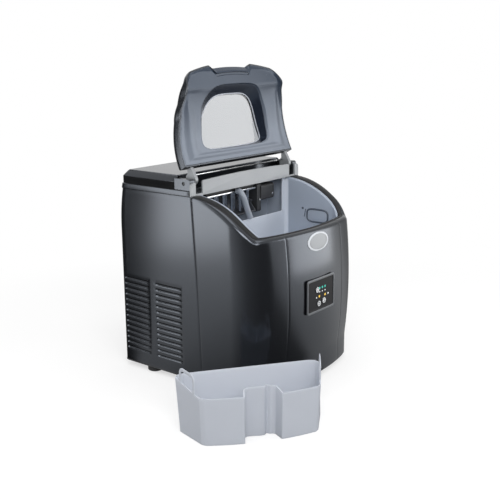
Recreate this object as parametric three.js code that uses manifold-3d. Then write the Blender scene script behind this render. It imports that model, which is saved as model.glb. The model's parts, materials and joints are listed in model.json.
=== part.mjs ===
// Countertop ice maker with its arched lid open and its ice basket standing on the floor in front.
// Millimetres, +Z up, the front faces -Y. Machine coordinates: x = 0 on the centre line, z = 0 on the floor.
import * as THREE from 'three';
import { mergeVertices } from 'three/addons/utils/BufferGeometryUtils.js';
import Module from 'manifold-3d';

const wasm = await Module();
wasm.setup();

// ---------------------------------------------------------------- driving dimensions
const gap = 0.3; // clearance between pieces that touch in the real machine
const wall = 3; // moulded housing wall

const body = {
  halfWidth: 180, rearY: 212, frontY: -176, floorZ: 14, // outer box of the housing
  cornerRadius: 66, frontRadius: 500, rearCorner: 16, // plan arcs
  bulge: 9, bulgeZ: 190, // barrel shape of the front, fading out at the rim
  rearLean: 9, leanStartZ: 310, // the rear leans in towards the top
};
const basePlate = { thickness: 1.7, flangeInset: 1, upstand: 16, upstandInset: 4.2, upstandWall: 2 };
const seam = { topZ: 393, topY: -1, bottomY: -21, bow: 1.5 }; // line between side panels and front housing
const arch = { y: 14, radius: 194, frontZ: 322 }; // the mouth's edge falls along this arc to its front
const shoulder = { drop: 9, cornerDrop: 20, front: 10, corner: 14, rear: 3.4 }; // rounded edge: drop, insets
const rim = { front: 17.5, side: 27.5, height: 5, crown: 1.2 }; // dark band, up to these insets
const lip = { front: 5, side: 8, drop: 1 }; // pale edge of the chamber inside the rim
const panel = { halfWidth: 95 }; // centre front panel
const chamber = { wall: 3, floorZ: 196, dividerY: 12, dividerZ: 317, postWidth: 12 };
const sensor = { y: -58, z: 306, length: 44, height: 28, corner: 8, proud: 1.5 };
const freezer = { rearY: 64, floorZ: 250, topZ: 391, wall: 2.5 };
const topCover = {
  bandZ: 408, coveZ: 419, deckZ: 431, cove: 3, slope: 14, deckFrontY: 46, trough: 2.5, troughInset: 8,
};
const hinge = { y: 21, z: 417, openAngle: 121, pinRadius: 3, armInset: 25, armWidth: 8 };
const hingeCover = {
  plateInset: 35, knuckleInset: 15, height: 29, rise: 3, thickness: 3.5, sill: 4, frontY: -1,
};
const lid = {
  rearY: -4, rise: 27.5, wall: 3, fillet: 14, crown: 1, edgeGap: 1.5, // rise is above the arch of the mouth
  overhang: 13, frontShare: 0.75, blend: 5, notchHalf: 57, notchBack: 18,
  linerRise: 3, linerGroove: 4, linerWall: 2.2,
};
const lidWindow = {
  y: -56, power: 4, pane: 2.5, lap: 5,
  glass: { halfWidth: 100, front: 79.5, rear: 20, taper: 0.22 }, // outline seen through the shell
  opening: { halfWidth: 106, front: 88, rear: 27, taper: 0.1 }, // outline in the liner
};
const louvre = {
  count: 14, pitch: 12, height: 5, length: 72, gapBetween: 21, rearInset: 14, topZ: 201, tilt: 3,
};
const control = { z: 188, width: 98, height: 72, glassWidth: 82, glassHeight: 58, proud: 2.5, corner: 8 };
const button = { radius: 6.2, travel: 1.2, proud: 1.6, length: 8 };
const basket = {
  height: 98, wall: 2.2, rearHalf: 138.5, frontHalf: 111, depth: 103, bow: 13, chamfer: 16,
  notchHalf: 34.5, notchBack: 25, notchDepth: 25, notchRise: 8, draft: 3, rearDraft: 24,
  handleLength: 56, handleHeight: 26, handleBar: 5, turn: -36.3, x: -224, y: -172.3,
};

// ---------------------------------------------------------------- finishes
function finish(color, roughness, metalness = 0) {
  return new THREE.MeshStandardMaterial({ color, roughness, metalness });
}
const blackShell = finish('#24262a', 0.32);
const blackTrim = finish('#17181b', 0.4);
const silverPlastic = finish('#b4b8bc', 0.42, 0.2);
const linerGrey = finish('#aab3c2', 0.45);
const basketGrey = finish('#c3c8d2', 0.5);
const glassClear = finish('#d9dde0', 0.1);
const glassBlack = finish('#0b0c0e', 0.12);
const steel = finish('#c4c7ca', 0.3, 0.9);
const copper = finish('#b87348', 0.35, 0.9);
const rubber = finish('#1c1c1d', 0.85);
const hoseWhite = finish('#dfe3e8', 0.5);
const boardGreen = finish('#25603c', 0.6);
const motorDark = finish('#2b2d31', 0.6);

// ---------------------------------------------------------------- making solids
const rad = THREE.MathUtils.degToRad;
const lerp = THREE.MathUtils.lerp;
const clamp = THREE.MathUtils.clamp;
const smoothstep = THREE.MathUtils.smoothstep;

// Welded copy of a closed geometry with only its positions, turned right side out.
function welded(geometry) {
  const plain = geometry.clone();
  plain.deleteAttribute('normal');
  plain.deleteAttribute('uv');
  const merged = mergeVertices(plain, 1e-3);
  const p = merged.attributes.position;
  const index = merged.index.array;
  const [a, b, c] = [new THREE.Vector3(), new THREE.Vector3(), new THREE.Vector3()];
  let volume = 0;
  for (let i = 0; i < index.length; i += 3) {
    a.fromBufferAttribute(p, index[i]);
    b.fromBufferAttribute(p, index[i + 1]);
    c.fromBufferAttribute(p, index[i + 2]);
    volume += a.dot(b.cross(c));
  }
  for (let i = 0; volume < 0 && i < index.length; i += 3) [index[i], index[i + 1]] = [index[i + 1], index[i]];
  return merged;
}

function toSolid(geometry) {
  const w = welded(geometry);
  const vertProperties = new Float32Array(w.attributes.position.array);
  const triVerts = new Uint32Array(w.index.array);
  return new wasm.Manifold(new wasm.Mesh({ numProp: 3, vertProperties, triVerts }));
}

function toGeometry(solid) {
  const m = solid.getMesh();
  const geometry = new THREE.BufferGeometry();
  geometry.setAttribute('position', new THREE.BufferAttribute(new Float32Array(m.vertProperties), 3));
  geometry.setIndex(new THREE.BufferAttribute(new Uint32Array(m.triVerts), 1));
  return geometry;
}

const join = (first, ...rest) => toGeometry(rest.reduce((s, g) => s.add(toSolid(g)), toSolid(first)));
const cut = (first, ...rest) => toGeometry(rest.reduce((s, g) => s.subtract(toSolid(g)), toSolid(first)));

// A box between two corners.
function block(x0, x1, y0, y1, z0, z1) {
  const box = new THREE.BoxGeometry(x1 - x0, y1 - y0, z1 - z0);
  return box.translate((x0 + x1) / 2, (y0 + y1) / 2, (z0 + z1) / 2);
}

// A shape carried along one axis. Its own two coordinates are (x, y), (y, z) or (x, z).
function prism(axis, shape, from, to, options = {}) {
  const settings = { depth: to - from, bevelEnabled: false, curveSegments: 5, ...options };
  const g = new THREE.ExtrudeGeometry(shape, settings);
  const m = new THREE.Matrix4();
  const [ex, ey, ez] = [new THREE.Vector3(1, 0, 0), new THREE.Vector3(0, 1, 0), new THREE.Vector3(0, 0, 1)];
  if (axis === 'x') m.makeBasis(ey, ez, ex);
  if (axis === 'y') m.makeBasis(ex, ez, ey.clone().negate());
  g.applyMatrix4(m);
  if (axis === 'x') return g.translate(from, 0, 0);
  return axis === 'y' ? g.translate(0, to, 0) : g.translate(0, 0, from);
}

const polygon = (points) => new THREE.Shape(points.map(([a, b]) => new THREE.Vector2(a, b)));

function roundedRect(cx, cy, width, height, r) {
  const s = new THREE.Shape();
  const [x0, x1, y0, y1] = [cx - width / 2, cx + width / 2, cy - height / 2, cy + height / 2];
  s.absarc(x1 - r, y0 + r, r, -Math.PI / 2, 0);
  s.absarc(x1 - r, y1 - r, r, 0, Math.PI / 2);
  s.absarc(x0 + r, y1 - r, r, Math.PI / 2, Math.PI);
  s.absarc(x0 + r, y0 + r, r, Math.PI, Math.PI * 1.5);
  return s;
}

function circle(cx, cy, r) {
  const s = new THREE.Shape();
  s.absarc(cx, cy, r, 0, Math.PI * 2);
  return s;
}

// A cylinder along an axis, starting at a point.
function rod(axis, r, from, length, sides = 24) {
  const g = new THREE.CylinderGeometry(r, r, length, sides).translate(0, length / 2, 0);
  if (axis === 'x') g.rotateZ(-Math.PI / 2);
  if (axis === 'z') g.rotateX(Math.PI / 2);
  return g.translate(...from);
}

// A box whose cells are bent into place: u, v, w run 0..1 and map(u, v, w) gives the point.
function bentBox(nu, nv, map) {
  const g = new THREE.BoxGeometry(1, 1, 1, nu, nv, 1);
  return remap(g, (p) => map(p.x + 0.5, p.y + 0.5, p.z + 0.5));
}

// A closed ring of cells: u goes once round, v takes the given stations, w is 0 outside and 1 inside.
function bentRing(nu, stations, map) {
  const up = stations.map((v) => new THREE.Vector2(2, v));
  const down = stations.map((v) => new THREE.Vector2(3, v)).reverse();
  const g = new THREE.LatheGeometry([...up, ...down, up[0].clone()], nu);
  return remap(g, (p) => map(turnOf(p), p.y, Math.hypot(p.x, p.z) - 2));
}

// A closed disc of cells: u goes once round, r runs 0..1 from its middle, w is 0 on top and 1 below.
function bentDisc(nu, nr, map) {
  const radii = Array.from({ length: nr + 1 }, (_, i) => i / nr);
  const top = radii.map((r) => new THREE.Vector2(r, 0));
  const under = radii.map((r) => new THREE.Vector2(r, 1)).reverse();
  const g = new THREE.LatheGeometry([...top, ...under], nu);
  return remap(g, (p) => map(turnOf(p), Math.hypot(p.x, p.z), p.y));
}

const turnOf = (p) => {
  const turn = Math.atan2(p.x, p.z) / (2 * Math.PI);
  return turn < -1e-6 ? turn + 1 : Math.max(turn, 0);
};

function remap(geometry, map) {
  const p = geometry.attributes.position;
  const point = new THREE.Vector3();
  for (let i = 0; i < p.count; i += 1) {
    point.fromBufferAttribute(p, i);
    p.setXYZ(i, ...map(point));
  }
  return geometry;
}

// ---------------------------------------------------------------- outlines that the pieces share
const cornerX = body.halfWidth - body.cornerRadius;
const frontCentreY = body.frontY + body.frontRadius;
const cornerY = frontCentreY - Math.sqrt((body.frontRadius - body.cornerRadius) ** 2 - cornerX ** 2);
const cornerStart = Math.atan2(cornerX, frontCentreY - cornerY);

// Plan of the front half: s = 0 at the front centre, +-0.5 where the corners start, +-0.75 where they
// end, +-1 at backY on the sides. The inset moves the point inwards.
function planPoint(s, inset, backY) {
  const side = Math.sign(s) || 1;
  const t = Math.abs(s);
  if (t <= 0.5) {
    const a = (t / 0.5) * cornerStart;
    const r = body.frontRadius - inset;
    return [side * r * Math.sin(a), frontCentreY - r * Math.cos(a)];
  }
  if (t <= 0.75) {
    const a = lerp(cornerStart, Math.PI / 2, (t - 0.5) / 0.25);
    const r = body.cornerRadius - inset;
    return [side * (cornerX + r * Math.sin(a)), cornerY - r * Math.cos(a)];
  }
  return [side * (body.halfWidth - inset), lerp(cornerY, backY, (t - 0.75) / 0.25)];
}

const arcZ = seam.topZ - arch.radius;
const archHeight = (y, rise) => {
  const radius = arch.radius + rise;
  return arcZ + Math.sqrt(Math.max(radius ** 2 - Math.min(y - arch.y, 0) ** 2, 0));
};
const rimZ = (y) => Math.max(archHeight(y, 0), arch.frontZ);
const creaseY = arch.y - Math.sqrt(arch.radius ** 2 - (arch.frontZ - arcZ) ** 2);

// Insets of the mouth's edges at a station, from the housing's crease inwards.
const sideShare = (s) => smoothstep(Math.abs(s), 0.5, 0.75);
function creaseInset(s) {
  const t = Math.abs(s);
  if (t < 0.75) return lerp(shoulder.front, shoulder.corner, smoothstep(t, 0.55, 0.65));
  return lerp(shoulder.rear, shoulder.corner, ((1 - t) / 0.25) ** 2);
}
const rimInset = (s) => lerp(rim.front, rim.side, sideShare(s));
const wellInset = (s) => rimInset(s) + lerp(lip.front, lip.side, sideShare(s));
const wellHalf = body.halfWidth - rim.side - lip.side;

// How far the front stands proud of its plan at a height.
function bulgeAt(y, z) {
  const reach = clamp((-30 - y) / (-30 - body.frontY), 0, 1);
  const height = Math.max(1 - ((z - body.bulgeZ) / (arch.frontZ - body.bulgeZ)) ** 2, 0);
  return body.bulge * height * reach * reach * (3 - 2 * reach);
}

function seamY(z) {
  const t = (seam.topZ - z) / (seam.topZ - body.floorZ);
  return lerp(seam.topY, seam.bottomY, t) - seam.bow * Math.sin(Math.PI * t);
}

const leanShare = (z) => clamp((z - body.leanStartZ) / (seam.topZ - body.leanStartZ), 0, 1.5);
const rearLean = (z) => body.rearLean * leanShare(z) ** 2;

// The centre panel ends at a station of the plan, and the side housings start a gap further out.
const stationAt = (x) => (0.5 * Math.asin(x / body.frontRadius)) / cornerStart;
const spread = (from, to, count) => Array.from({ length: count + 1 }, (_, i) => lerp(from, to, i / count));
const panelStations = spread(-stationAt(panel.halfWidth), stationAt(panel.halfWidth), 8);
const cheekStations = [
  ...spread(stationAt(panel.halfWidth + gap), 0.5, 2), ...spread(0.5, 0.75, 6).slice(1), 0.81, 0.87, 0.93, 1];
const leftStations = cheekStations.map((s) => -s).reverse();
const planStations = [...leftStations, ...panelStations.slice(1, -1), ...cheekStations];

const planShape = (insetAt, backY) => polygon(planStations.map((s) => planPoint(s, insetAt(s), backY)));
const stationOf = (list, share) => list[Math.round(share * (list.length - 1))];

// ---------------------------------------------------------------- housing
// Front housing wall along stations of the plan, with a rounded shoulder below the rim.
const wallRows = { straight: 7, turned: 3 };
function frontWall(stations, backGap) {
  const { straight, turned } = wallRows;
  return bentBox(stations.length - 1, straight + turned, (u, v, w) => {
    const t = w * wall;
    const s = stationOf(stations, u);
    const row = Math.round(v * (straight + turned));
    const turn = (Math.max(row - straight, 0) / turned) * (Math.PI / 2);
    const crease = creaseInset(s);
    const cornerShare = clamp((crease - shoulder.front) / (shoulder.corner - shoulder.front), 0, 1);
    const drop = lerp(shoulder.drop, shoulder.cornerDrop, cornerShare);
    const foot = rimZ(planPoint(s, crease, seam.topY)[1]) - drop;
    const rise = (drop - t) * Math.sin(turn);
    const z = turn > 0 ? foot + rise : lerp(body.floorZ, foot, row / straight);
    const [x, y] = planPoint(s, lerp(crease, t, Math.cos(turn)), seamY(z) - backGap);
    return [x, y - bulgeAt(y, z), z];
  });
}

const frontHousing = (side) => frontWall(cheekStations.map((s) => side * s), gap);

function frontPanel() {
  const opening = roundedRect(0, control.z, control.width - 8, control.height - 8, control.corner - 3);
  return cut(frontWall(panelStations, 0), prism('y', opening, 1.25 * body.frontY, 0.85 * body.frontY));
}

// Side panel: a flat wall that turns round the rear corner, with two columns of slanted louvres.
function sidePanel(side) {
  const right = cut(sideWall(), frontTrim(), ...louvreSlots());
  return side > 0 ? right : mirrored(right);
}

function sideWall() {
  const [x1, y1, r] = [body.halfWidth, body.rearY, body.rearCorner];
  const frontY = seam.bottomY - 20;
  const plan = new THREE.Shape();
  plan.moveTo(x1, frontY);
  plan.absarc(x1 - r, y1 - r, r, 0, Math.PI / 2, false);
  plan.lineTo(x1 - r, y1 - wall);
  plan.absarc(x1 - r, y1 - r, r - wall, Math.PI / 2, 0, true);
  plan.lineTo(x1 - wall, frontY);
  const shell = prism('z', plan, body.floorZ, seam.topZ - gap, { steps: 8, curveSegments: 4 });
  return remap(shell, (p) => [p.x, p.y > louvre.length ? p.y - rearLean(p.z) : p.y, p.z]);
}

// Everything in front of the seam.
function frontTrim() {
  const above = seam.topZ + 30;
  const front = [[seam.bottomY - 60, 0], [seam.bottomY - 60, above], [seamY(above), above]];
  for (const z of spread(seam.topZ + 10, body.floorZ - 5, 6)) front.push([seamY(z), z]);
  return prism('x', polygon(front), body.halfWidth - 10, body.halfWidth + 10);
}

function louvreSlots() {
  const [inside, outside] = [body.halfWidth - wall - 1, body.halfWidth + 1];
  const slots = [];
  for (let i = 0; i < louvre.count; i += 1) {
    const z = louvre.topZ - i * louvre.pitch - louvre.height / 2;
    const section = polygon([
      [inside, z + louvre.tilt], [outside, z - 1], [outside, z + louvre.height - 1],
      [inside, z + louvre.height + louvre.tilt]]);
    for (let column = 0; column < 2; column += 1) {
      const y = body.rearY - louvre.rearInset - column * (louvre.length + louvre.gapBetween);
      slots.push(prism('y', section, y - louvre.length, y));
    }
  }
  return slots;
}

function mirrored(geometry) {
  return welded(geometry.clone().scale(-1, 1, 1));
}

// Rear panel: a grille of vertical slots in front of the fan, and an inlet cut-out.
const rearPanelHalf = body.halfWidth - body.rearCorner - gap;
const grille = { x: -62, z: 150, radius: 66, bars: 11, slot: 7 };
const inlet = { x: 110, z: 60, width: 30, height: 24, flange: 4, depth: 22 };
const through = 10; // how far a cutter reaches past a wall
function rearPanel() {
  const heights = spread(body.leanStartZ, seam.topZ - gap, 4);
  const outside = heights.map((z) => [body.rearY - rearLean(z), z]);
  const inside = heights.map((z) => [body.rearY - wall - rearLean(z), z]).reverse();
  const section = [[body.rearY - wall, body.floorZ], [body.rearY, body.floorZ], ...outside, ...inside];
  const plate = prism('x', polygon(section), -rearPanelHalf, rearPanelHalf);
  const pitch = (2 * grille.radius) / grille.bars;
  const slots = spread(-(grille.bars - 1) / 2, (grille.bars - 1) / 2, grille.bars - 1).map((i) => {
    const half = Math.sqrt(grille.radius ** 2 - (i * pitch) ** 2);
    const x = grille.x + i * pitch;
    return rearBlock(x - grille.slot / 2, x + grille.slot / 2, grille.z - half, grille.z + half);
  });
  return cut(plate, ...slots, inletBlock(0, body.rearY - through, body.rearY + through));
}

const rearBlock = (x0, x1, z0, z1) => block(x0, x1, body.rearY - through, body.rearY + through, z0, z1);

// A block the size of the inlet's cut-out, grown on every side.
function inletBlock(grow, y0, y1) {
  const [halfX, halfZ] = [inlet.width / 2 + grow, inlet.height / 2 + grow];
  return block(inlet.x - halfX, inlet.x + halfX, y0, y1, inlet.z - halfZ, inlet.z + halfZ);
}

// Base pan: a plate that the housing stands on, with an upstand inside it.
function basePan() {
  const p = basePlate;
  const top = body.floorZ - gap;
  const plate = prism('z', rearClosedPlan(p.flangeInset), top - p.thickness, top);
  const outer = prism('z', rearClosedPlan(p.upstandInset), top - 1, top + p.upstand);
  const inner = prism('z', rearClosedPlan(p.upstandInset + p.upstandWall), top - 2, top + p.upstand + 1);
  return join(plate, cut(outer, inner));
}

// The whole plan of the housing, with rounded rear corners.
function rearClosedPlan(inset) {
  const points = planShape(() => inset, 0).getPoints().map((p) => [p.x, p.y]);
  const r = body.rearCorner - inset;
  const [cx, cy] = [body.halfWidth - body.rearCorner, body.rearY - body.rearCorner];
  for (const [side, start] of [[1, 0], [-1, Math.PI / 2]]) {
    for (const a of spread(start, start + Math.PI / 2, 4)) {
      points.push([side * cx + r * Math.cos(a), cy + r * Math.sin(a)]);
    }
  }
  return polygon(points);
}

const footSpots = [[-130, 150], [130, 150], [-130, -95], [130, -95]];
function foot([x, y]) {
  const top = body.floorZ - basePlate.thickness - 2 * gap;
  const g = new THREE.LatheGeometry([[0, 0], [14, 0], [16, 2], [15, top - 3], [17, top], [0, top]]
    .map(([r, z]) => new THREE.Vector2(r, z)), 18);
  return g.rotateX(Math.PI / 2).translate(x, y, 0);
}

// Top surround: side band, dark cove and sloped ledge, carried round three sides of the deck.
const surroundStations = [
  { inset: 0, z: seam.topZ }, { inset: 0, z: topCover.bandZ },
  { inset: topCover.cove, z: topCover.bandZ + 2 },
  { inset: topCover.cove, z: topCover.coveZ }, { inset: topCover.slope, z: topCover.deckZ - 2 }];
function topSurround() {
  const last = surroundStations.length - 1;
  const band = bentBox(24, last, (u, v, w) => {
    const station = surroundStations[Math.round(v * last)];
    const atDeck = station.inset === topCover.slope; // the inner edge is a vertical face beside the deck
    const inset = station.inset + (atDeck ? 0 : w * wall);
    const z = station.z - (station.inset > 0 ? w * wall * 0.8 : 0);
    const [x, y] = surroundPath(u, inset);
    return [x, y - (y > body.rearY / 2 ? rearLean(Math.min(z, topCover.bandZ)) : 0), z];
  });
  const across = body.halfWidth + 20;
  const [low, high] = [topCover.bandZ - 1, topCover.deckZ + 9];
  return cut(band, block(-across, across, -20, topCover.deckFrontY, low, high));
}

const hingeBackY = hingeCover.thickness - 1;

// U-shaped path: up the right side, round the rear corners and back down the left side.
function surroundPath(u, inset) {
  const side = u < 0.5 ? 1 : -1;
  const t = 1 - Math.abs(u - 0.5) * 2; // 0 at the front ends, 1 at the rear centre
  const r = Math.max(body.rearCorner - inset, 1);
  const [cx, cy] = [body.halfWidth - inset - r, body.rearY - inset - r];
  if (t < 0.25) return [side * (body.halfWidth - inset), lerp(hingeBackY + gap, cy, t / 0.25)];
  if (t < 0.75) {
    const a = ((t - 0.25) / 0.5) * (Math.PI / 2);
    return [side * (cx + r * Math.cos(a)), cy + r * Math.sin(a)];
  }
  return [side * lerp(cx, 0, (t - 0.75) / 0.25), body.rearY - inset];
}

// Deck plate with a step down in front into the hinge trough.
function deckPlate() {
  const c = topCover;
  const y1 = body.rearY - c.slope - gap - rearLean(c.bandZ);
  const y0 = c.deckFrontY;
  const bottom = seam.topZ + 0.5;
  const half = body.halfWidth - c.slope - gap;
  const inner = half - c.troughInset;
  const plate = prism('z', roundedRect(0, (y0 + y1) / 2, 2 * half, y1 - y0, 2), c.deckZ - wall, c.deckZ);
  const front = block(-inner, inner, y0, y0 + wall, bottom, c.deckZ - 1);
  const trough = block(-inner, inner, hingeCover.thickness + 1, y0 + wall, bottom, bottom + c.trough);
  return join(plate, front, trough);
}

const plateHalf = body.halfWidth - hingeCover.plateInset;
const knuckleX = body.halfWidth - hingeCover.knuckleInset;
const coverTop = seam.topZ + hingeCover.height;

// Silver hinge cover: a crowned plate between two slots, and a rounded knuckle outside each slot.
function hingeCoverPiece() {
  const c = hingeCover;
  const base = seam.topZ + 1;
  const [rear, top] = [c.thickness - 1, coverTop];
  const plate = new THREE.Shape();
  plate.moveTo(-plateHalf, base);
  plate.lineTo(plateHalf, base);
  plate.lineTo(plateHalf, top - 4);
  plate.quadraticCurveTo(plateHalf, top, plateHalf - 6, top);
  plate.quadraticCurveTo(0, top + 2 * c.rise, -plateHalf + 6, top);
  plate.quadraticCurveTo(-plateHalf, top, -plateHalf, top - 4);
  const pieces = [prism('y', plate, c.frontY, rear)];
  const [xa, xb] = [knuckleX, body.halfWidth - 1];
  for (const side of [-1, 1]) {
    const k = new THREE.Shape();
    k.moveTo(side * xa, base);
    k.lineTo(side * xb, base);
    k.lineTo(side * xb, top - 12);
    k.quadraticCurveTo(side * xb, top - 2, side * (xb - 8), top - 2);
    k.lineTo(side * xa, top - 2);
    pieces.push(prism('y', k, c.frontY - 0.5, rear));
  }
  return join(block(-xb, xb, c.frontY, rear, seam.topZ, seam.topZ + c.sill), ...pieces);
}

// Pivot block in each front corner of the top cover, which carries a hinge pin.
function pivotBlock(side) {
  const [xa, xb] = [knuckleX - 2, body.halfWidth - wall - gap];
  const side0 = Math.min(side * xa, side * xb);
  const z1 = topCover.deckZ - 5;
  const profile = new THREE.Shape();
  const y0 = hingeBackY + gap;
  profile.moveTo(y0, seam.topZ);
  profile.lineTo(topCover.deckFrontY - gap, seam.topZ);
  profile.lineTo(topCover.deckFrontY - gap, z1);
  profile.lineTo(y0 + 6, z1);
  profile.quadraticCurveTo(y0, z1, y0, z1 - 6);
  const bore = rod('x', hinge.pinRadius + gap, [side0 - 2, hinge.y, hinge.z], xb - xa + 4);
  return cut(prism('x', profile, side0, side0 + xb - xa), bore);
}

// ---------------------------------------------------------------- opening and chambers
function openingRim() {
  const across = [0, 0.2, 0.8, 1];
  return bentBox(planStations.length - 1, across.length - 1, (u, v, w) => {
    const s = stationOf(planStations, u);
    const share = stationOf(across, v);
    const inset = lerp(creaseInset(s) + gap, rimInset(s), share);
    const [x, y] = planPoint(s, inset, seam.topY - 3 * gap);
    const crown = share > 0 && share < 1 ? rim.crown : 0;
    return [x, y, rimZ(y) + (w > 0.5 ? -rim.height : crown)];
  });
}

// Tub of the ice chamber: walls that follow the mouth's arch and turn out into a lip inside the rim.
function binLiner() {
  const t = chamber.wall;
  const path = [{ out: 0, share: 0 }, { out: 0, share: 0.5 }, { out: 0, share: 1 }, { out: 0.35, share: 1 },
    { out: 1, share: 1 }];
  const walls = bentBox(planStations.length - 1, path.length - 1, (u, v, w) => {
    const s = stationOf(planStations, u);
    const { out, share } = stationOf(path, v);
    const well = wellInset(s) - (out < 1 ? w * t : 0);
    const [x, y] = planPoint(s, lerp(well, rimInset(s) + gap, out), chamber.dividerY);
    const rounding = out > 0 ? 0 : 1.5;
    return [x, y, lerp(chamber.floorZ, rimZ(y) - lip.drop - rounding - w * t * share, share)];
  });
  const base = planShape((s) => wellInset(s) - t / 2, chamber.dividerY);
  const floor = prism('z', base, chamber.floorZ, chamber.floorZ + t);
  const [y, z] = [chamber.dividerY, seam.topZ - lip.drop - gap];
  const half = wellHalf - chamber.postWidth;
  const divider = block(-wellHalf - 1, wellHalf + 1, y - t, y, chamber.floorZ, z);
  return join(walls, floor, cut(divider, block(-half, half, y - t - 1, y + 1, chamber.dividerZ, z + 1)));
}

// Frame of the level sensor, on the flat part of the chamber's right wall.
function sensorCover() {
  const frame = roundedRect(sensor.y, sensor.z, sensor.length, sensor.height, sensor.corner);
  return prism('x', frame, wellHalf - gap - sensor.proud, wellHalf - gap, { curveSegments: 4 });
}

const freezerHalf = wellHalf + chamber.wall;
const freezerInner = freezerHalf - freezer.wall;
const freezerWallY = freezer.rearY - freezer.wall - gap; // what is fixed to its rear wall ends here
function freezerHousing() {
  const t = freezer.wall;
  const half = freezerInner;
  const front = chamber.dividerY + gap;
  const outer = block(-freezerHalf, freezerHalf, front, freezer.rearY, freezer.floorZ, freezer.topZ);
  const inner = block(-half, half, front - 1, freezer.rearY - t, freezer.floorZ + t, freezer.topZ + 1);
  return cut(outer, inner);
}

// Water tray's pivot axis and trough. The evaporator's fingers hang inside its radius, so it tips clear.
const bearingRoom = 21; // from the freezer's wall to the tray's end
const tray = {
  x0: bearingRoom - freezerInner, x1: 48, y: 34, z: 350,
  radius: 24, wall: 2, swing: 52, pinRadius: 2.5, pinLength: 12,
};

// Evaporator: a tube header on top with two rows of hanging fingers.
const evaporatorPiece = {
  x0: tray.x0 + 6, x1: tray.x1 - 6, y: tray.y, z: 379, header: 10, inset: 14, rowPitch: 16,
  fingers: 6, fingerRadius: 3.6, fingerLength: 47,
};
function evaporator() {
  const e = evaporatorPiece;
  const front = e.y - e.rowPitch / 2 - 12;
  const depth = freezerWallY - front;
  const section = roundedRect(front + depth / 2, e.z + e.header / 2, depth, e.header, 3);
  const header = prism('x', section, e.x0, e.x1, { curveSegments: 3 });
  const [r, length] = [e.fingerRadius, e.fingerLength];
  const profile = [[0, -length], [r * 0.7, 1 - length], [r, 4 - length], [r, 6], [0, 6]];
  const outline = profile.map(([a, z]) => new THREE.Vector2(a, z));
  const finger = new THREE.LatheGeometry(outline, 7).rotateX(Math.PI / 2);
  const fingers = spread(e.x0 + e.inset, e.x1 - e.inset, e.fingers - 1).flatMap((x) =>
    [-1, 1].map((row) => finger.clone().translate(x, e.y + (row * e.rowPitch) / 2, e.z)));
  return join(header, ...fingers);
}

// Trough drawn about its own pivot axis, below the fingers as when ice is made.
function waterTray() {
  const t = tray;
  const arc = new THREE.Shape();
  arc.absarc(0, 0, t.radius + t.wall, Math.PI, 2 * Math.PI, false);
  arc.absarc(0, 0, t.radius, 2 * Math.PI, Math.PI, true);
  const end = new THREE.Shape();
  end.absarc(0, 0, t.radius + t.wall, Math.PI, 2 * Math.PI, false);
  end.absarc(0, 0, t.pinRadius + 2, 0, Math.PI, false);
  const curved = { curveSegments: 8 };
  return join(prism('x', arc, t.x0 + 1, t.x1 - 1, curved),
    prism('x', end, t.x0, t.x0 + t.wall, curved), prism('x', end, t.x1 - t.wall, t.x1, curved),
    rod('x', t.pinRadius, [t.x1 - 1, 0, 0], t.pinLength + 3, 12),
    rod('x', t.pinRadius, [t.x0 - t.pinLength, 0, 0], t.pinLength + 1, 12));
}

// Drive motor with its gearbox, and the bearing arm at the tray's other end, both on the freezer's rear wall.
const trayBore = (x) => rod('x', tray.pinRadius + gap, [x, tray.y, tray.z], 20, 12);
const trayDrive = { can: 34, canLength: 58, canRise: 16, box: 14, depth: 42, height: 62, rise: 6, corner: 5 };
function trayMotor() {
  const d = trayDrive;
  const x0 = tray.x1 + 6;
  const rounded = { curveSegments: 3 };
  const canShape = roundedRect(tray.y, tray.z + d.canRise, d.can, d.can, d.corner);
  const boxShape = roundedRect(freezerWallY - d.depth / 2, tray.z + d.rise, d.depth, d.height, d.corner);
  const can = prism('x', canShape, x0 + d.box - 2, x0 + d.canLength, rounded);
  return cut(join(can, prism('x', boxShape, x0, x0 + d.box, rounded)), trayBore(x0 - 8));
}

function trayBearing() {
  const x1 = tray.x0 - 3;
  const front = tray.y - 7;
  const section = roundedRect((front + freezerWallY) / 2, tray.z, freezerWallY - front, 14, 5);
  return cut(prism('x', section, x1 - 6, x1, { curveSegments: 3 }), trayBore(x1 - 12));
}

// A tube of round section along a smooth curve through points.
function tube(points, radius, sides, steps) {
  const path = new THREE.CatmullRomCurve3(points.map((p) => new THREE.Vector3(...p)));
  const section = new THREE.Shape();
  section.absarc(0, 0, radius, 0, Math.PI * 2);
  const settings = { steps, curveSegments: sides / 2, extrudePath: path, bevelEnabled: false };
  return new THREE.ExtrudeGeometry(section, settings);
}

const hosePath = [
  [-20, 13.7, 382], [-20, 7, 382], [-14, -4, 370], [-5, -6, 350], [5, -6, 334], [12, -6, 318]];
const waterHose = () => tube(hosePath, 6.5, 10, 12);

// ---------------------------------------------------------------- lid, drawn closed
// A surface at a rise above the mouth's arch, which flattens over the front lip.
function lidSurface(y, rise) {
  const [curved, flat] = [archHeight(y, rise), arch.frontZ + rise * lid.frontShare];
  const share = clamp(0.5 + (curved - flat) / (2 * lid.blend), 0, 1);
  return lerp(flat, curved, share) + lid.blend * share * (1 - share); // the larger of the two, blended
}
const crownZ = (x, y, rise) => lidSurface(y, rise) + lid.crown * (1 - (x / body.halfWidth) ** 2);

// The lid's edge stands on the housing's crease and overhangs it in front.
function lidInset(s) {
  return lerp(-lid.overhang, creaseInset(s), smoothstep(Math.abs(s), 0.47, 0.64));
}
const notchEnds = [stationAt(lid.notchHalf - 6), stationAt(lid.notchHalf + 8)];
const notchAt = (s) => lid.notchBack * (1 - smoothstep(Math.abs(s), ...notchEnds));

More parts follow.
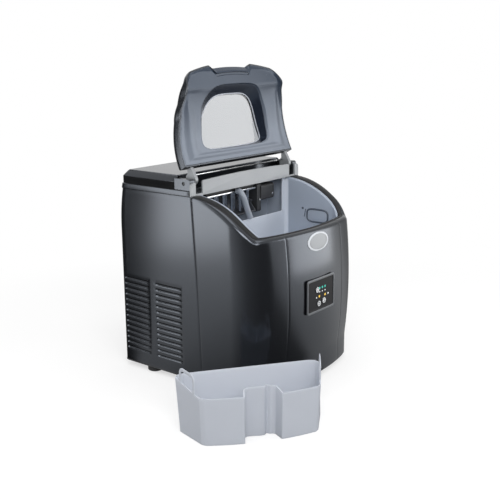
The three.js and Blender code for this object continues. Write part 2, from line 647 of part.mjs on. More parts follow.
// Closed outline: the rear edge, then the plan of the mouth from right to left, each at its inset.
const rearTurns = 0.1;
function lidOutline(u, insetAt, rearInset) {
  const s = clamp(lerp(1, -1, (u - rearTurns) / (1 - 2 * rearTurns)), -1, 1);
  const point = planPoint(s, insetAt(s), lid.rearY - rearInset);
  const share = Math.min(u, 1 - u) / rearTurns;
  return share < 1 ? [point[0] * share, point[1]] : point;
}

// Window outline seen at an angle from its centre, narrowing towards the front: 0 the glass, 1 the opening.
function windowPoint(angle, share, grow = 0) {
  const { glass, opening, power } = lidWindow;
  const ahead = Math.sin(angle) < 0;
  const reach = ahead ? 'front' : 'rear';
  const a = lerp(glass.halfWidth, opening.halfWidth, share) + grow;
  const b = lerp(glass[reach], opening[reach], share) + grow;
  const r = (Math.abs(Math.cos(angle) / a) ** power + Math.abs(Math.sin(angle) / b) ** power) ** (-1 / power);
  const [x, y] = [r * Math.cos(angle), r * Math.sin(angle)];
  const taper = ahead ? (-y / b) * lerp(glass.taper, opening.taper, share) : 0;
  return [x * (1 - taper), lidWindow.y + y];
}

const angleFromWindow = ([x, y]) => Math.atan2(y - lidWindow.y, x);
const mix = (p, q, t) => [lerp(p[0], q[0], t), lerp(p[1], q[1], t)];
const lidLoop = 60;

// Shell: an upright edge, a rounded shoulder and a crowned top with the window's hole.
const shellRows = { edge: 0.2, shoulder: 0.48, list: [0, 0.2, 0.29, 0.38, 0.48, 0.7, 0.88, 1] };
function lidShell() {
  const f = lid.fillet;
  return bentRing(lidLoop, shellRows.list, (u, v, w) => {
    const t = w * lid.wall;
    const rise = lid.rise - t;
    if (v <= shellRows.edge) {
      const scoop = v > 0 ? 0.4 : 1;
      const p = lidOutline(u, (s) => lidInset(s) + t + scoop * notchAt(s), t);
      const low = lidSurface(p[1], lid.edgeGap);
      return [...p, v > 0 ? Math.max(crownZ(...p, rise) - f + t, low + 1) : low];
    }
    const turn = Math.min((v - shellRows.edge) / (shellRows.shoulder - shellRows.edge), 1) * (Math.PI / 2);
    const inset = t + (f - t) * (1 - Math.cos(turn));
    const edge = lidOutline(u, (s) => lidInset(s) + inset + 0.4 * Math.cos(turn) * notchAt(s), inset);
    if (v <= shellRows.shoulder) return [...edge, crownZ(...edge, rise) - (f - t) * (1 - Math.sin(turn))];
    const share = (v - shellRows.shoulder) / (1 - shellRows.shoulder);
    const p = mix(edge, windowPoint(angleFromWindow(edge), 0), share);
    return [...p, crownZ(...p, rise)];
  });
}

// Liner: a flat flange above the rim, then a groove into the well round the window.
const flangeInset = (s) => lidInset(s) + lid.wall + gap;
const flangeEnd = (s) => Math.max(wellInset(s) + 1.5, flangeInset(s) + notchAt(s) + 1);
const grooveInset = (s) => wellInset(s) + 5;
const grooveRear = 17;
const grooveDepth = (y) => lid.linerGroove * smoothstep(y, creaseY, creaseY + 40);
function lidLiner() {
  const rows = [
    (u) => lidOutline(u, (s) => flangeInset(s) + notchAt(s), lid.wall + gap),
    (u) => lidOutline(u, flangeEnd, grooveRear - 7),
    (u) => lidOutline(u, grooveInset, grooveRear),
    (u) => windowPoint(angleFromWindow(lidOutline(u, grooveInset, grooveRear)), 1)];
  return bentRing(lidLoop, [0, 1, 2, 3], (u, v, w) => {
    const p = rows[Math.round(v)](u);
    const groove = Math.round(v) === 2 ? grooveDepth(p[1]) : 0;
    return [...p, lidSurface(p[1], lid.linerRise) - groove + w * lid.linerWall];
  });
}

// Sleeve between the liner's opening and the pane above it.
function windowBezel() {
  const top = lid.rise - lid.wall - lidWindow.pane - 3 * gap;
  return bentRing(lidLoop, [0, 1], (u, v, w) => {
    const angle = angleFromWindow(lidOutline(u, grooveInset, grooveRear));
    const p = windowPoint(angle, v, w * 2);
    if (v > 0.5) return [...p, lidSurface(p[1], lid.linerRise) + lid.linerWall + 3 * gap];
    return [...p, crownZ(...p, top)];
  });
}

function windowPane() {
  return bentDisc(32, 3, (u, r, w) => {
    const p = mix([0, lidWindow.y], windowPoint(u * 2 * Math.PI, 0, lidWindow.lap), r);
    return [...p, crownZ(...p, lid.rise - lid.wall - gap - w * lidWindow.pane)];
  });
}

const armX = body.halfWidth - hinge.armInset;

// Gooseneck arm: forward into the lid's rear wall, under the axis and up round the pin.
function hingeArm(side) {
  const [y, z] = [hinge.y, hinge.z];
  const s = new THREE.Shape();
  const yFront = lid.rearY + gap;
  s.moveTo(yFront, z - 19);
  s.lineTo(y - 2, z - 19);
  s.quadraticCurveTo(y + 9, z - 18, y + 9, z - 4);
  s.absarc(y, z, 9, -0.4, Math.PI * 0.75, false);
  s.lineTo(y - 15, z + 2);
  s.lineTo(y - 17, z - 5);
  s.lineTo(yFront, z - 9);
  const x0 = side * armX - hinge.armWidth / 2;
  return cut(prism('x', s, x0, x0 + hinge.armWidth, { curveSegments: 6 }),
    rod('x', hinge.pinRadius + gap, [x0 - 2, y, z], hinge.armWidth + 4));
}

function hingePin(side) {
  const x0 = armX - hinge.armWidth / 2 + 1;
  const length = body.halfWidth - wall - gap - 1 - x0;
  return rod('x', hinge.pinRadius, [side > 0 ? x0 : -x0 - length, hinge.y, hinge.z], length);
}

const tieRod = { y: hinge.y - 12.4, z: hinge.z - 3.8, radius: 1.8 };
function hingeRod() {
  const half = armX - hinge.armWidth / 2 - gap;
  return join(rod('x', tieRod.radius, [-half, tieRod.y, tieRod.z], 2 * half, 12),
    new THREE.SphereGeometry(3, 10, 6).translate(half - 22, tieRod.y, tieRod.z));
}

// ---------------------------------------------------------------- control panel
const controlFaceY = planPoint(0, 0, 0)[1] - body.bulge;

function controlBezel() {
  const y = controlFaceY - control.proud;
  const frame = roundedRect(0, control.z, control.width, control.height, control.corner);
  const [width, height] = [control.glassWidth + 2 * gap, control.glassHeight + 2 * gap];
  const hole = roundedRect(0, control.z, width, height, control.corner - 4);
  const skirt = roundedRect(0, control.z, control.width - 9, control.height - 9, control.corner - 4);
  return cut(join(prism('y', frame, y, controlFaceY - gap), prism('y', skirt, y + 1, controlFaceY + 8)),
    prism('y', hole, y - 5, controlFaceY + 20));
}

const buttons = { power_button: [-14, 12], select_button: [-8, -18], clean_button: [10, -15] };
function controlWindow() {
  const shape = roundedRect(0, control.z, control.glassWidth, control.glassHeight, control.corner - 4.3);
  const y = controlFaceY - control.proud + 1;
  const bores = Object.values(buttons).map(([x, z]) =>
    prism('y', circle(x, control.z + z, button.radius + gap), y - 5, y + 12, { curveSegments: 10 }));
  return cut(prism('y', shape, y, y + 4), ...bores);
}

function pushButton([x, z]) {
  const face = controlFaceY - control.proud + 1 - button.proud;
  const r = button.radius;
  const profile = [[0, 0], [r - 1.6, 0], [r - 0.5, 0.4], [r, 1.4], [r, button.length], [0, button.length]];
  const g = new THREE.LatheGeometry(profile.map(([a, b]) => new THREE.Vector2(a, b)), 20);
  return g.translate(x, face, control.z + z);
}

// Circuit board behind the window, standing on the buttons' guides.
function controlBoard() {
  const y = controlFaceY - control.proud + 1 - button.proud + button.length + button.travel + gap;
  const [halfX, halfZ] = [control.glassWidth / 2, control.glassHeight / 2];
  const outline = roundedRect(0, control.z, 2 * halfX, 2 * halfZ, control.corner - 4);
  return prism('y', outline, y, y + 1.6, { curveSegments: 3 });
}

// ---------------------------------------------------------------- machinery behind the panels
const motorCan = {
  fromSide: 95, fromRear: 102, radius: 56, height: 118, plateHalf: 62, plateDepth: 40, plate: 5,
};
function compressor() {
  const c = motorCan;
  const profile = [[0, 0], [0.79, 0], [0.93, 0.07], [1, 0.42], [0.93, 0.78], [0.61, 0.95], [0, 1]];
  const outline = profile.map(([r, z]) => new THREE.Vector2(r * c.radius, z * c.height));
  const can = new THREE.LatheGeometry(outline, 20).rotateX(Math.PI / 2);
  const plate = block(-c.plateHalf, c.plateHalf, -c.plateDepth / 2, c.plateDepth / 2, 0, c.plate);
  return join(can, plate).translate(body.halfWidth - c.fromSide, body.rearY - c.fromRear, body.floorZ);
}

const fan = {
  fromRear: 18, radius: 56, hub: 14, blades: 7, thickness: 14, shroudHalf: 68, clearance: 4, spoke: 3,
};
const fanY = body.rearY - fan.fromRear;
const shroudY = { front: fanY - 15, rear: fanY + 11.5 };
const fins = { x0: -138, x1: -4, depth: 28, height: 198, count: 8, thickness: 1.2, plate: 3, pipe: 4 };

// Condenser: upright fins between two pipes, just in front of the fan.
function condenser() {
  const [rear, front] = [shroudY.front - 1, shroudY.front - 1 - fins.depth];
  const [z0, z1] = [body.floorZ + fins.plate, body.floorZ + fins.height];
  const plate = block(fins.x0, fins.x1, front, rear, body.floorZ, z0);
  const sheets = spread(fins.x0 + 1, fins.x1 - 1 - fins.thickness, fins.count - 1).map((x) =>
    block(x, x + fins.thickness, front + 2, rear - 2, z0 - 1, z1));
  const pipes = [1 / 3, 5 / 6].map((share) =>
    rod('x', fins.pipe, [fins.x0, (front + rear) / 2, lerp(z0, z1, share)], fins.x1 - fins.x0, 6));
  return join(plate, ...sheets, ...pipes);
}

function fanShroud() {
  const { front, rear } = shroudY;
  const half = fan.shroudHalf;
  const plate = prism('y', roundedRect(grille.x, grille.z, 2 * half, 2 * half, 10), front, rear);
  const hole = circle(grille.x, grille.z, fan.radius + fan.clearance);
  const duct = prism('y', hole, front - 1, rear + 1, { curveSegments: 14 });
  const reach = fan.radius + fan.clearance + 1;
  const spokes = [0, 1, 2].map((i) => block(-reach, reach, front, front + 3, -fan.spoke, fan.spoke)
    .rotateY((i * Math.PI) / 3).translate(grille.x, 0, grille.z));
  const hubSeat = rod('y', fan.hub + fan.clearance, [grille.x, front, grille.z], 5);
  const standX = [grille.x - half + 8, grille.x + half - 8];
  const stand = block(...standX, front, rear, body.floorZ, grille.z - half + 2);
  return join(cut(plate, duct), ...spokes, hubSeat, stand);
}

function fanBlades() {
  const blade = block(fan.hub - 3, fan.radius, -1, 1, -10, 10).rotateX(rad(32));
  const blades = Array.from({ length: fan.blades }, (_, i) =>
    blade.clone().rotateY((i * 2 * Math.PI) / fan.blades).translate(grille.x, fanY + 3, grille.z));
  return join(rod('y', fan.hub, [grille.x, fanY - 3, grille.z], fan.thickness), ...blades);
}

function fanMotor() {
  const front = shroudY.front + 5 + gap;
  const can = rod('y', fan.hub, [grille.x, front, grille.z], 5.5);
  return join(can, rod('y', 5, [grille.x, front + 3.7, grille.z], fanY - 3 - gap - front - 3.7));
}

const tank = { fromSide: 30, fromFront: 46, rearY: 40, height: 86, wall: 2.5 };
function waterTank() {
  const half = body.halfWidth - tank.fromSide;
  const [front, t] = [body.frontY + tank.fromFront, tank.wall];
  const [z0, z1] = [body.floorZ, body.floorZ + tank.height];
  const outer = block(-half, half, front, tank.rearY, z0, z1);
  const inner = block(-half + t, half - t, front + t, tank.rearY - t, z0 + t, z1 + 1);
  return cut(outer, inner);
}

const pump = { x: -90, y: -20, radius: 20, height: 40, neck: 6, neckHeight: 57, box: 22, boxHeight: 19.2 };
function waterPump() {
  const z = body.floorZ + tank.wall + gap;
  const boxX = pump.x + pump.radius - 4;
  return join(rod('z', pump.radius, [pump.x, pump.y, z], pump.height),
    rod('z', pump.neck, [pump.x, pump.y, z + pump.height - 2], pump.neckHeight - pump.height + 2, 16),
    block(boxX, boxX + pump.box, pump.y - 10, pump.y + 10, z, z + pump.boxHeight));
}

function powerInlet() {
  const shell = inletBlock(-gap, body.rearY - inlet.depth, body.rearY + 1);
  const flange = inletBlock(inlet.flange, body.rearY + gap, body.rearY + 2.5);
  const socket = inletBlock(-inlet.flange, body.rearY - inlet.depth + 8, body.rearY + through);
  return cut(join(shell, flange), socket);
}

// ---------------------------------------------------------------- basket, drawn square to the machine
// Half outline from the rear centre to the notch: each corner with its height above the basket's rim.
function basketHalf() {
  const b = basket;
  const fullBow = b.bow / (1 - (b.notchHalf / b.frontHalf) ** 2);
  const bowAt = (x) => -b.depth - fullBow * (1 - (x / b.frontHalf) ** 2);
  const points = [[0, 0, 0], [b.rearHalf - b.chamfer, 0, 0], [b.rearHalf - 5, -5, 0]];
  points.push([b.rearHalf, -b.chamfer, 0]);
  points.push([b.frontHalf + 1, -b.depth + 6, 0], [b.frontHalf - 6, bowAt(b.frontHalf - 6), 0]);
  for (let i = 1; i <= 4; i += 1) {
    const x = lerp(b.frontHalf - 6, b.notchHalf, i / 4);
    points.push([x, bowAt(x), 0]);
  }
  const back = -b.depth - b.bow + b.notchDepth;
  points.push([b.notchBack + 4, back - 3, b.notchRise - 1], [b.notchBack - 2, back, b.notchRise]);
  points.push([0, back - 1, b.notchRise + 1]);
  return points;
}

function basketLoop() {
  const half = basketHalf();
  const left = half.slice(1, -1).reverse().map(([x, y, rise]) => [-x, y, rise]);
  return [...half, ...left];
}

// Point of the loop at a height share t, with the walls drafted towards the floor.
function drafted([x, y], t) {
  const b = basket;
  const share = 1 - t;
  const rear = clamp(1 + y / (b.depth * 0.6), 0, 1);
  return [x * (1 - (share * b.draft) / b.frontHalf), y - share * b.rearDraft * rear + share * 2 * (1 - rear)];
}

function iceBasket() {
  const b = basket;
  const loop = basketLoop();
  const n = loop.length;
  const at = (i) => loop[((i % n) + n) % n];
  const offset = (i, t, inset) => {
    const [p, q, r] = [at(i - 1), at(i), at(i + 1)].map((c) => new THREE.Vector2(...drafted(c, t)));
    const n0 = new THREE.Vector2(-(q.y - p.y), q.x - p.x).normalize();
    const n1 = new THREE.Vector2(-(r.y - q.y), r.x - q.x).normalize();
    const miter = n0.clone().add(n1).normalize();
    return q.addScaledVector(miter, -inset / Math.max(miter.dot(n1), 0.5));
  };
  const shell = bentRing(n, [0, 0.5, 1], (u, v, w) => {
    const i = Math.round(u * n);
    const p = offset(i, v, w * b.wall);
    return [p.x, p.y, v * (b.height + at(i)[2] * (v > 0.9 ? 1 : 0))];
  });
  const floor = prism('z', polygon(loop.map((_, i) => offset(i, 0, 0.4).toArray())), 0, b.wall + 0.3);
  return join(shell, floor, basketHandle(1), basketHandle(-1));
}

// Loop handle in the plane of each side wall.
function basketHandle(side) {
  const b = basket;
  const [half, bar] = [b.handleLength / 2, b.handleBar];
  const outer = new THREE.Shape();
  outer.moveTo(-half, -14);
  outer.lineTo(half, -14);
  outer.lineTo(half, b.handleHeight - 12);
  outer.quadraticCurveTo(half, b.handleHeight, half - 12, b.handleHeight);
  outer.lineTo(-half + 12, b.handleHeight);
  outer.quadraticCurveTo(-half, b.handleHeight, -half, b.handleHeight - 12);
  const hole = new THREE.Path();
  hole.moveTo(-half + bar, 1);
  hole.quadraticCurveTo(0, -7, half - bar, 1);
  hole.lineTo(half - bar, b.handleHeight - 13);
  hole.quadraticCurveTo(half - bar, b.handleHeight - bar, half - 13, b.handleHeight - bar);
  hole.lineTo(-half + 13, b.handleHeight - bar);
  hole.quadraticCurveTo(-half + bar, b.handleHeight - bar, -half + bar, b.handleHeight - 13);
  outer.holes.push(hole);
  const loop = prism('x', outer, -b.wall, 0, { curveSegments: 5 });
  const taper = Math.atan2(b.rearHalf - b.frontHalf, b.depth - b.chamfer);
  const [mx, my] = [(b.rearHalf + b.frontHalf + 1) / 2, -(b.chamfer + b.depth - 6) / 2];
  const placed = loop.rotateZ(-taper).translate(mx, my, b.height);
  return side > 0 ? placed : mirrored(placed);
}

// ---------------------------------------------------------------- assembly
const machine = new THREE.Group();
const lidGroup = new THREE.Group();
const lidParts = new THREE.Group();
lidGroup.position.set(0, hinge.y, hinge.z);
lidGroup.rotation.x = -rad(hinge.openAngle);
lidParts.position.set(0, -hinge.y, -hinge.z);
lidGroup.add(lidParts);
machine.add(lidGroup);

function place(parent, name, geometry, material) {
  const mesh = new THREE.Mesh(welded(geometry), material);
  mesh.name = name;
  parent.add(mesh);
  return mesh;
}

const sides = { left: -1, right: 1 };
place(machine, 'base_pan', basePan(), motorDark);
['rear_left', 'rear_right', 'front_left', 'front_right'].forEach((spot, i) =>
  place(machine, `foot_${spot}`, foot(footSpots[i]), rubber));
for (const [name, side] of Object.entries(sides)) {
  place(machine, `side_panel_${name}`, sidePanel(side), blackShell);
  place(machine, `front_housing_${name}`, frontHousing(side), blackShell);
  place(machine, `pivot_block_${name}`, pivotBlock(side), blackShell);
  place(machine, `hinge_pin_${name}`, hingePin(side), steel);
  place(lidParts, `hinge_arm_${name}`, hingeArm(side), silverPlastic);
}
place(machine, 'front_panel', frontPanel(), blackShell);
place(machine, 'rear_panel', rearPanel(), blackShell);
place(machine, 'top_surround', topSurround(), blackShell);
place(machine, 'deck_plate', deckPlate(), blackShell);
place(machine, 'hinge_cover', hingeCoverPiece(), silverPlastic);
place(machine, 'opening_rim', openingRim(), blackTrim);
place(machine, 'bin_liner', binLiner(), linerGrey);
place(machine, 'sensor_cover', sensorCover(), glassBlack);
place(machine, 'freezer_housing', freezerHousing(), linerGrey);
place(machine, 'evaporator', evaporator(), steel);
place(machine, 'tray_motor', trayMotor(), motorDark);
place(machine, 'water_hose', waterHose(), hoseWhite);
const trayMesh = place(machine, 'water_tray', waterTray(), hoseWhite);
trayMesh.position.set(0, tray.y, tray.z);
trayMesh.rotation.x = rad(tray.swing);
place(machine, 'tray_bearing', trayBearing(), motorDark);
place(lidParts, 'lid_shell', lidShell(), blackShell);
place(lidParts, 'lid_liner', lidLiner(), linerGrey);
place(lidParts, 'lid_window', windowPane(), glassClear);
place(lidParts, 'window_bezel', windowBezel(), blackTrim);
place(lidParts, 'hinge_rod', hingeRod(), steel);
place(machine, 'control_bezel', controlBezel(), silverPlastic);
place(machine, 'control_window', controlWindow(), glassBlack);
for (const [name, spot] of Object.entries(buttons)) place(machine, name, pushButton(spot), blackTrim);
place(machine, 'control_board', controlBoard(), boardGreen);
place(machine, 'compressor', compressor(), motorDark);
place(machine, 'condenser', condenser(), copper);
place(machine, 'fan_shroud', fanShroud(), motorDark);
place(machine, 'fan_motor', fanMotor(), motorDark);
place(machine, 'fan_blades', fanBlades(), hoseWhite);
place(machine, 'water_tank', waterTank(), linerGrey);
place(machine, 'water_pump', waterPump(), motorDark);
place(machine, 'power_inlet', powerInlet(), motorDark);
const basketMesh = place(machine, 'ice_basket', iceBasket(), basketGrey);
basketMesh.position.set(basket.x, basket.y, 0);
basketMesh.rotation.z = rad(basket.turn);

// The origin is the middle of the whole object's footprint, on the floor.
machine.updateMatrixWorld(true);
const extent = new THREE.Box3().setFromObject(machine, true);
machine.position.set(-(extent.min.x + extent.max.x) / 2, -(extent.min.y + extent.max.y) / 2, -extent.min.z);

export default machine;
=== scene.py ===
# Countertop ice maker: its lid is up, its ice basket stands on the floor in front of it.
# Blender 4.5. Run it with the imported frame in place; shapes are worked out in millimetres in the machine's
# own axes (x across, -y to the front, z up from the floor) and placed in the frame in metres.
import json
import bpy
import bmesh
import numpy as np
from mathutils import Euler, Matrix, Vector


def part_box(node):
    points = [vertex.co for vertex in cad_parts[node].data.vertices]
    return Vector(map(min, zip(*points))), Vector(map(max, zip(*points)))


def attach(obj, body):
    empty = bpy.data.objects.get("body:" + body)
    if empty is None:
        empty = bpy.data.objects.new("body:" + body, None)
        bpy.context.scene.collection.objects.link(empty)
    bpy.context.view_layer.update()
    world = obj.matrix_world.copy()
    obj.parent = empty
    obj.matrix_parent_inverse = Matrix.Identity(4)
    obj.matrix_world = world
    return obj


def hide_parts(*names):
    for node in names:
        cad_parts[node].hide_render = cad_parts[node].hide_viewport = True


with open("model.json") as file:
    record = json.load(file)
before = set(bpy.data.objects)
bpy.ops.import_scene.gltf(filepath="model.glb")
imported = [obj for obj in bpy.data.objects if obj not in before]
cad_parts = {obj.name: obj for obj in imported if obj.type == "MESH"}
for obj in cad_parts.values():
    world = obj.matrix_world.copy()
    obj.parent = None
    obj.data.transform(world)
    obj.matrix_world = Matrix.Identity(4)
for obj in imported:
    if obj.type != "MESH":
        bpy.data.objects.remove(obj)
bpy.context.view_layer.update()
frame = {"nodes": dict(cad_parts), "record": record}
nodes = frame["nodes"]
print("frame loaded:", len(nodes), "nodes")

# the machine's own origin: its centre line, at the y of its plan, on the floor
panRear = 0.211  # from the plan's y = 0 to the base pan's rear edge
panLow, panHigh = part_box("base_pan")
origin = np.array(((panLow.x + panHigh.x) / 2, panHigh.y - panRear, 0))
hingeJoint = next(j for j in frame["record"]["behaviour"]["joints"] if j["name"] == "lid_hinge")
lidTurn = -np.radians(hingeJoint["range_deg"][1])

view = {"azimuth": -51.3, "elevation": 13.6, "roll": -0.5, "distance": 1.825,
        "target": (0.0027, -0.0011, 0.2524), "lens": 61.25, "sensor": 36, "nearest": 0.05}


def addObject(name, data, location, rotation):
    obj = bpy.data.objects.new(name, data)
    obj.location, obj.rotation_euler = location, rotation
    bpy.context.scene.collection.objects.link(obj)
    return obj


def addCamera():
    # looks at its target from an azimuth and an elevation, with a slight roll
    a, e = np.radians(view["azimuth"]), np.radians(view["elevation"])
    away = Vector((np.sin(a) * np.cos(e), -np.cos(a) * np.cos(e), np.sin(e)))
    turn = (-away).to_track_quat("-Z", "Y").to_matrix() @ Euler((0, 0, np.radians(view["roll"]))).to_matrix()
    data = bpy.data.cameras.new("camera")
    data.lens, data.sensor_width, data.clip_start = view["lens"], view["sensor"], view["nearest"]
    place = Vector(origin) + Vector(view["target"]) + away * view["distance"]
    bpy.context.scene.camera = addObject("camera", data, place, turn.to_euler())


addCamera()
print("camera in place")

studio = {
    "floorSize": 14.0, "floorDrop": 0.0004, "floorColour": 0.42, "floorGlow": 0.6, "fill": 0.5,
    "paper": (0.45, 1.1),  # distances from the machine at which the floor starts and ends turning plain white
    "ceiling": (0.25, 0.65, 0.6),  # where the plain ceiling starts and is full, its brightness
    "nearLevel": 0.5, "near": (0.25, 0.95),  # a mirrored floor is darker right beside the machine
    # what a glossy surface sees round the machine: degrees from -X towards -Y, brightness
    "walls": [(-180, 0.35), (-165, 0.6), (-140, 1.0), (-112, 0.9), (-100, 0.3), (-90, 0.03), (-47, 0.03),
              (-43, 1.0), (-28, 1.0), (-20, 0.8), (-8, 0.62), (8, 0.4), (20, 0.25), (40, 0.15), (58, 0.1),
              (84, 0.1), (100, 0.16), (110, 0.9), (140, 1.0), (152, 1.0), (160, 0.8), (170, 0.3), (180, 0.35)],
}
lamps = {  # bearing as above, distance and height of the middle, height it looks at, size in metres, power
    "leftStrip": (-36, 1.3, 0.66, 0.66, (0.34, 1.3), 4), "rightBox": (133, 1.3, 0.66, 0.66, (0.8, 1.3), 8),
    "topBox": (30, 0.3, 2.1, 0.3, (1.5, 1.5), 11), "frontBox": (46, 1.7, 1.15, 0.25, (1.0, 1.0), 17),
}


def feed(socket, value):
    # links an output to a socket, or sets a plain number or colour on it
    if isinstance(value, bpy.types.NodeSocket):
        socket.id_data.links.new(value, socket)
    else:
        socket.default_value = (*value, 1) if socket.type == "RGBA" and len(value) == 3 else value


def feedAll(node, values):
    for key, value in values.items():
        feed(node.inputs[key], value)


def addNode(kind, inputs=(), tree=None, **settings):
    # a shader node with its settings; inputs pairs a socket's name or number with a value or an output, and
    # the node goes into the tree of the first output among them where no tree is given
    inputs = dict(inputs)
    tree = tree or next(v.id_data for v in inputs.values() if isinstance(v, bpy.types.NodeSocket))
    node = tree.nodes.new("ShaderNode" + kind)
    for name, value in settings.items():
        setattr(node, name, value)
    feedAll(node, inputs)
    return node


def mathNode(operation, *values, clamp=False):
    # values are plain numbers or outputs
    return addNode("Math", enumerate(values), operation=operation, use_clamp=clamp).outputs[0]


def multiply(first, second, clamp=False):
    return mathNode("MULTIPLY", first, second, clamp=clamp)


def rangeNode(value, start, end, low=0.0, high=1.0, kind="LINEAR"):
    inputs = {"Value": value, "From Min": start, "From Max": end, "To Min": low, "To Max": high}
    return addNode("MapRange", inputs, interpolation_type=kind).outputs["Result"]


def mixShader(share, first, second):
    return addNode("MixShader", enumerate((share, first, second))).outputs[0]


def objectCoord(tree):
    return addNode("TexCoord", tree=tree).outputs["Object"]


def partsOf(vector):
    return addNode("SeparateXYZ", {0: vector}).outputs


def wallBrightness(vector):
    # brightness by bearing: the angle of a direction or place about the machine, read off a ramp
    parts = partsOf(vector)
    bearing = mathNode("ARCTAN2", multiply(parts["Y"], -1.0), multiply(parts["X"], -1.0))
    turn = mathNode("DIVIDE", bearing, 2 * np.pi)
    ramp = addNode("ValToRGB", {"Fac": mathNode("ADD", turn, 0.5)})
    stops = ramp.color_ramp.elements
    while len(stops) < len(studio["walls"]):
        stops.new(0.5)
    for stop, (degrees, level) in zip(stops, studio["walls"]):
        stop.position, stop.color = degrees / 360 + 0.5, (level, level, level, 1)
    return ramp.outputs["Color"]


def addWorld():
    # plain white where the camera or glass looks, an even fill, and the walls' brightness in a mirror
    world = bpy.data.worlds.new("studio")
    world.use_nodes = True
    tree = world.node_tree
    path = addNode("LightPath", tree=tree).outputs
    around = addNode("TexCoord", tree=tree).outputs["Generated"]
    start, full, level = studio["ceiling"]
    above = rangeNode(partsOf(around)["Z"], start, full, kind="SMOOTHSTEP")
    room = addNode("Mix", {"Factor": above, "A": wallBrightness(around), "B": level}).outputs[0]
    mirror = multiply(room, path["Is Glossy Ray"])
    fill = multiply(mathNode("SUBTRACT", 1.0, path["Is Glossy Ray"]), studio["fill"])
    plain = mathNode("MAXIMUM", path["Is Camera Ray"], path["Is Transmission Ray"])
    strength = mathNode("MAXIMUM", mathNode("ADD", mirror, fill), plain)
    feedAll(tree.nodes["Background"], {"Strength": strength, "Color": (1, 1, 1)})
    bpy.context.scene.world = world


def blankMaterial(name):
    material = bpy.data.materials.new(name)
    material.use_nodes = True
    return material, material.node_tree, material.node_tree.nodes["Principled BSDF"]


def floorPaper():
    # pale paper that stays white to the horizon; in a mirror it takes the walls' brightness
    material, tree, principled = blankMaterial("floorPaper")
    grey = [studio["floorColour"]] * 3
    feedAll(principled, {"Base Color": grey, "Roughness": 1.0, "Specular IOR Level": 0.0,
                         "Emission Color": (1, 1, 1), "Emission Strength": studio["floorGlow"]})
    path = addNode("LightPath", tree=tree).outputs
    centre = tuple(float(c) for c in origin)
    place = addNode("VectorMath", {0: objectCoord(tree), 1: centre}, operation="SUBTRACT").outputs[0]
    distance = addNode("VectorMath", {0: place}, operation="LENGTH").outputs["Value"]
    far = rangeNode(distance, *studio["paper"], kind="SMOOTHSTEP")
    paper = mixShader(far, principled.outputs[0], addNode("Emission", tree=tree).outputs[0])
    dull = addNode("BsdfDiffuse", {"Color": grey}, tree).outputs[0]
    seen = mathNode("MAXIMUM", path["Is Camera Ray"], path["Is Transmission Ray"])
    direct = mixShader(seen, dull, paper)
    near = rangeNode(distance, *studio["near"], low=studio["nearLevel"])
    walls = multiply(wallBrightness(place), near)
    sheen = addNode("Emission", {"Strength": walls}).outputs[0]
    mirrored = mixShader(path["Is Glossy Ray"], direct, sheen)
    feed(tree.nodes["Material Output"].inputs["Surface"], mirrored)
    return material


def addFloor():
    half = studio["floorSize"] / 2
    mesh = bpy.data.meshes.new("floor")
    mesh.from_pydata([(-half, -half, 0), (half, -half, 0), (half, half, 0), (-half, half, 0)], [], [(0, 1, 2, 3)])
    mesh.materials.append(floorPaper())
    addObject("floor", mesh, (0, 0, -studio["floorDrop"]), (0, 0, 0))


def addLamp(name, bearing, away, height, aim, size, power):
    # a soft box that only lights and mirrors: neither the camera nor glass shows it
    data = bpy.data.lights.new(name, "AREA")
    data.shape, data.energy = "RECTANGLE", power
    data.size, data.size_y = size
    a = np.radians(bearing)
    place = Vector(origin) + Vector((-np.cos(a) * away, -np.sin(a) * away, height))
    facing = Vector(origin) + Vector((0, 0, aim)) - place
    light = addObject(name, data, place, facing.to_track_quat("-Z", "Y").to_euler())
    light.visible_camera = light.visible_transmission = False


bpy.context.scene.view_settings.view_transform = "Standard"
addWorld()
addFloor()
for name, lamp in lamps.items():
    addLamp(name, *lamp)
print("studio in place")


def newGroup(name, inputs, outputs):
    # an empty node group with its named sockets; each group puts out only heights, masks or normals
    group = bpy.data.node_groups.new(name, "ShaderNodeTree")
    for label, value in inputs.items():
        socket = group.interface.new_socket(label, in_out="INPUT", socket_type="NodeSocketFloat")
        socket.default_value = value
    for label in outputs:
        group.interface.new_socket(label, in_out="OUTPUT", socket_type="NodeSocketFloat")
    return group, group.nodes.new("NodeGroupInput").outputs, group.nodes.new("NodeGroupOutput").inputs


def noiseNode(vector, scale, detail=3.0, rough=0.5):
    inputs = {"Vector": vector, "Scale": scale, "Detail": detail, "Roughness": rough}
    return addNode("TexNoise", inputs).outputs["Fac"]


grainLook = {"cloudScale": 0.7, "speckScale": 0.55, "speckFrom": 0.78, "speckGain": 6.0}


def makeGrainGroup():
    # moulded grain: fine pits over a slow waviness, with a cloud mask for uneven gloss and rare specks
    group, source, sink = newGroup(
        "mouldedGrain", {"Grain Scale": 900.0, "Wave Scale": 14.0, "Wave Share": 0.3}, ["Height", "Cloud", "Speck"])
    coord, grain, wave, look = objectCoord(group), source["Grain Scale"], source["Wave Scale"], grainLook
    slow = multiply(noiseNode(coord, wave, 1.0), source["Wave Share"])
    feed(sink["Height"], mathNode("ADD", noiseNode(coord, grain, 2.0), slow))
    feed(sink["Cloud"], noiseNode(coord, multiply(wave, look["cloudScale"]), 5.0, 0.6))
    spots = noiseNode(coord, multiply(grain, look["speckScale"]), 0.0)
    rare = mathNode("SUBTRACT", spots, look["speckFrom"], clamp=True)
    feed(sink["Speck"], multiply(rare, look["speckGain"], clamp=True))
    return group


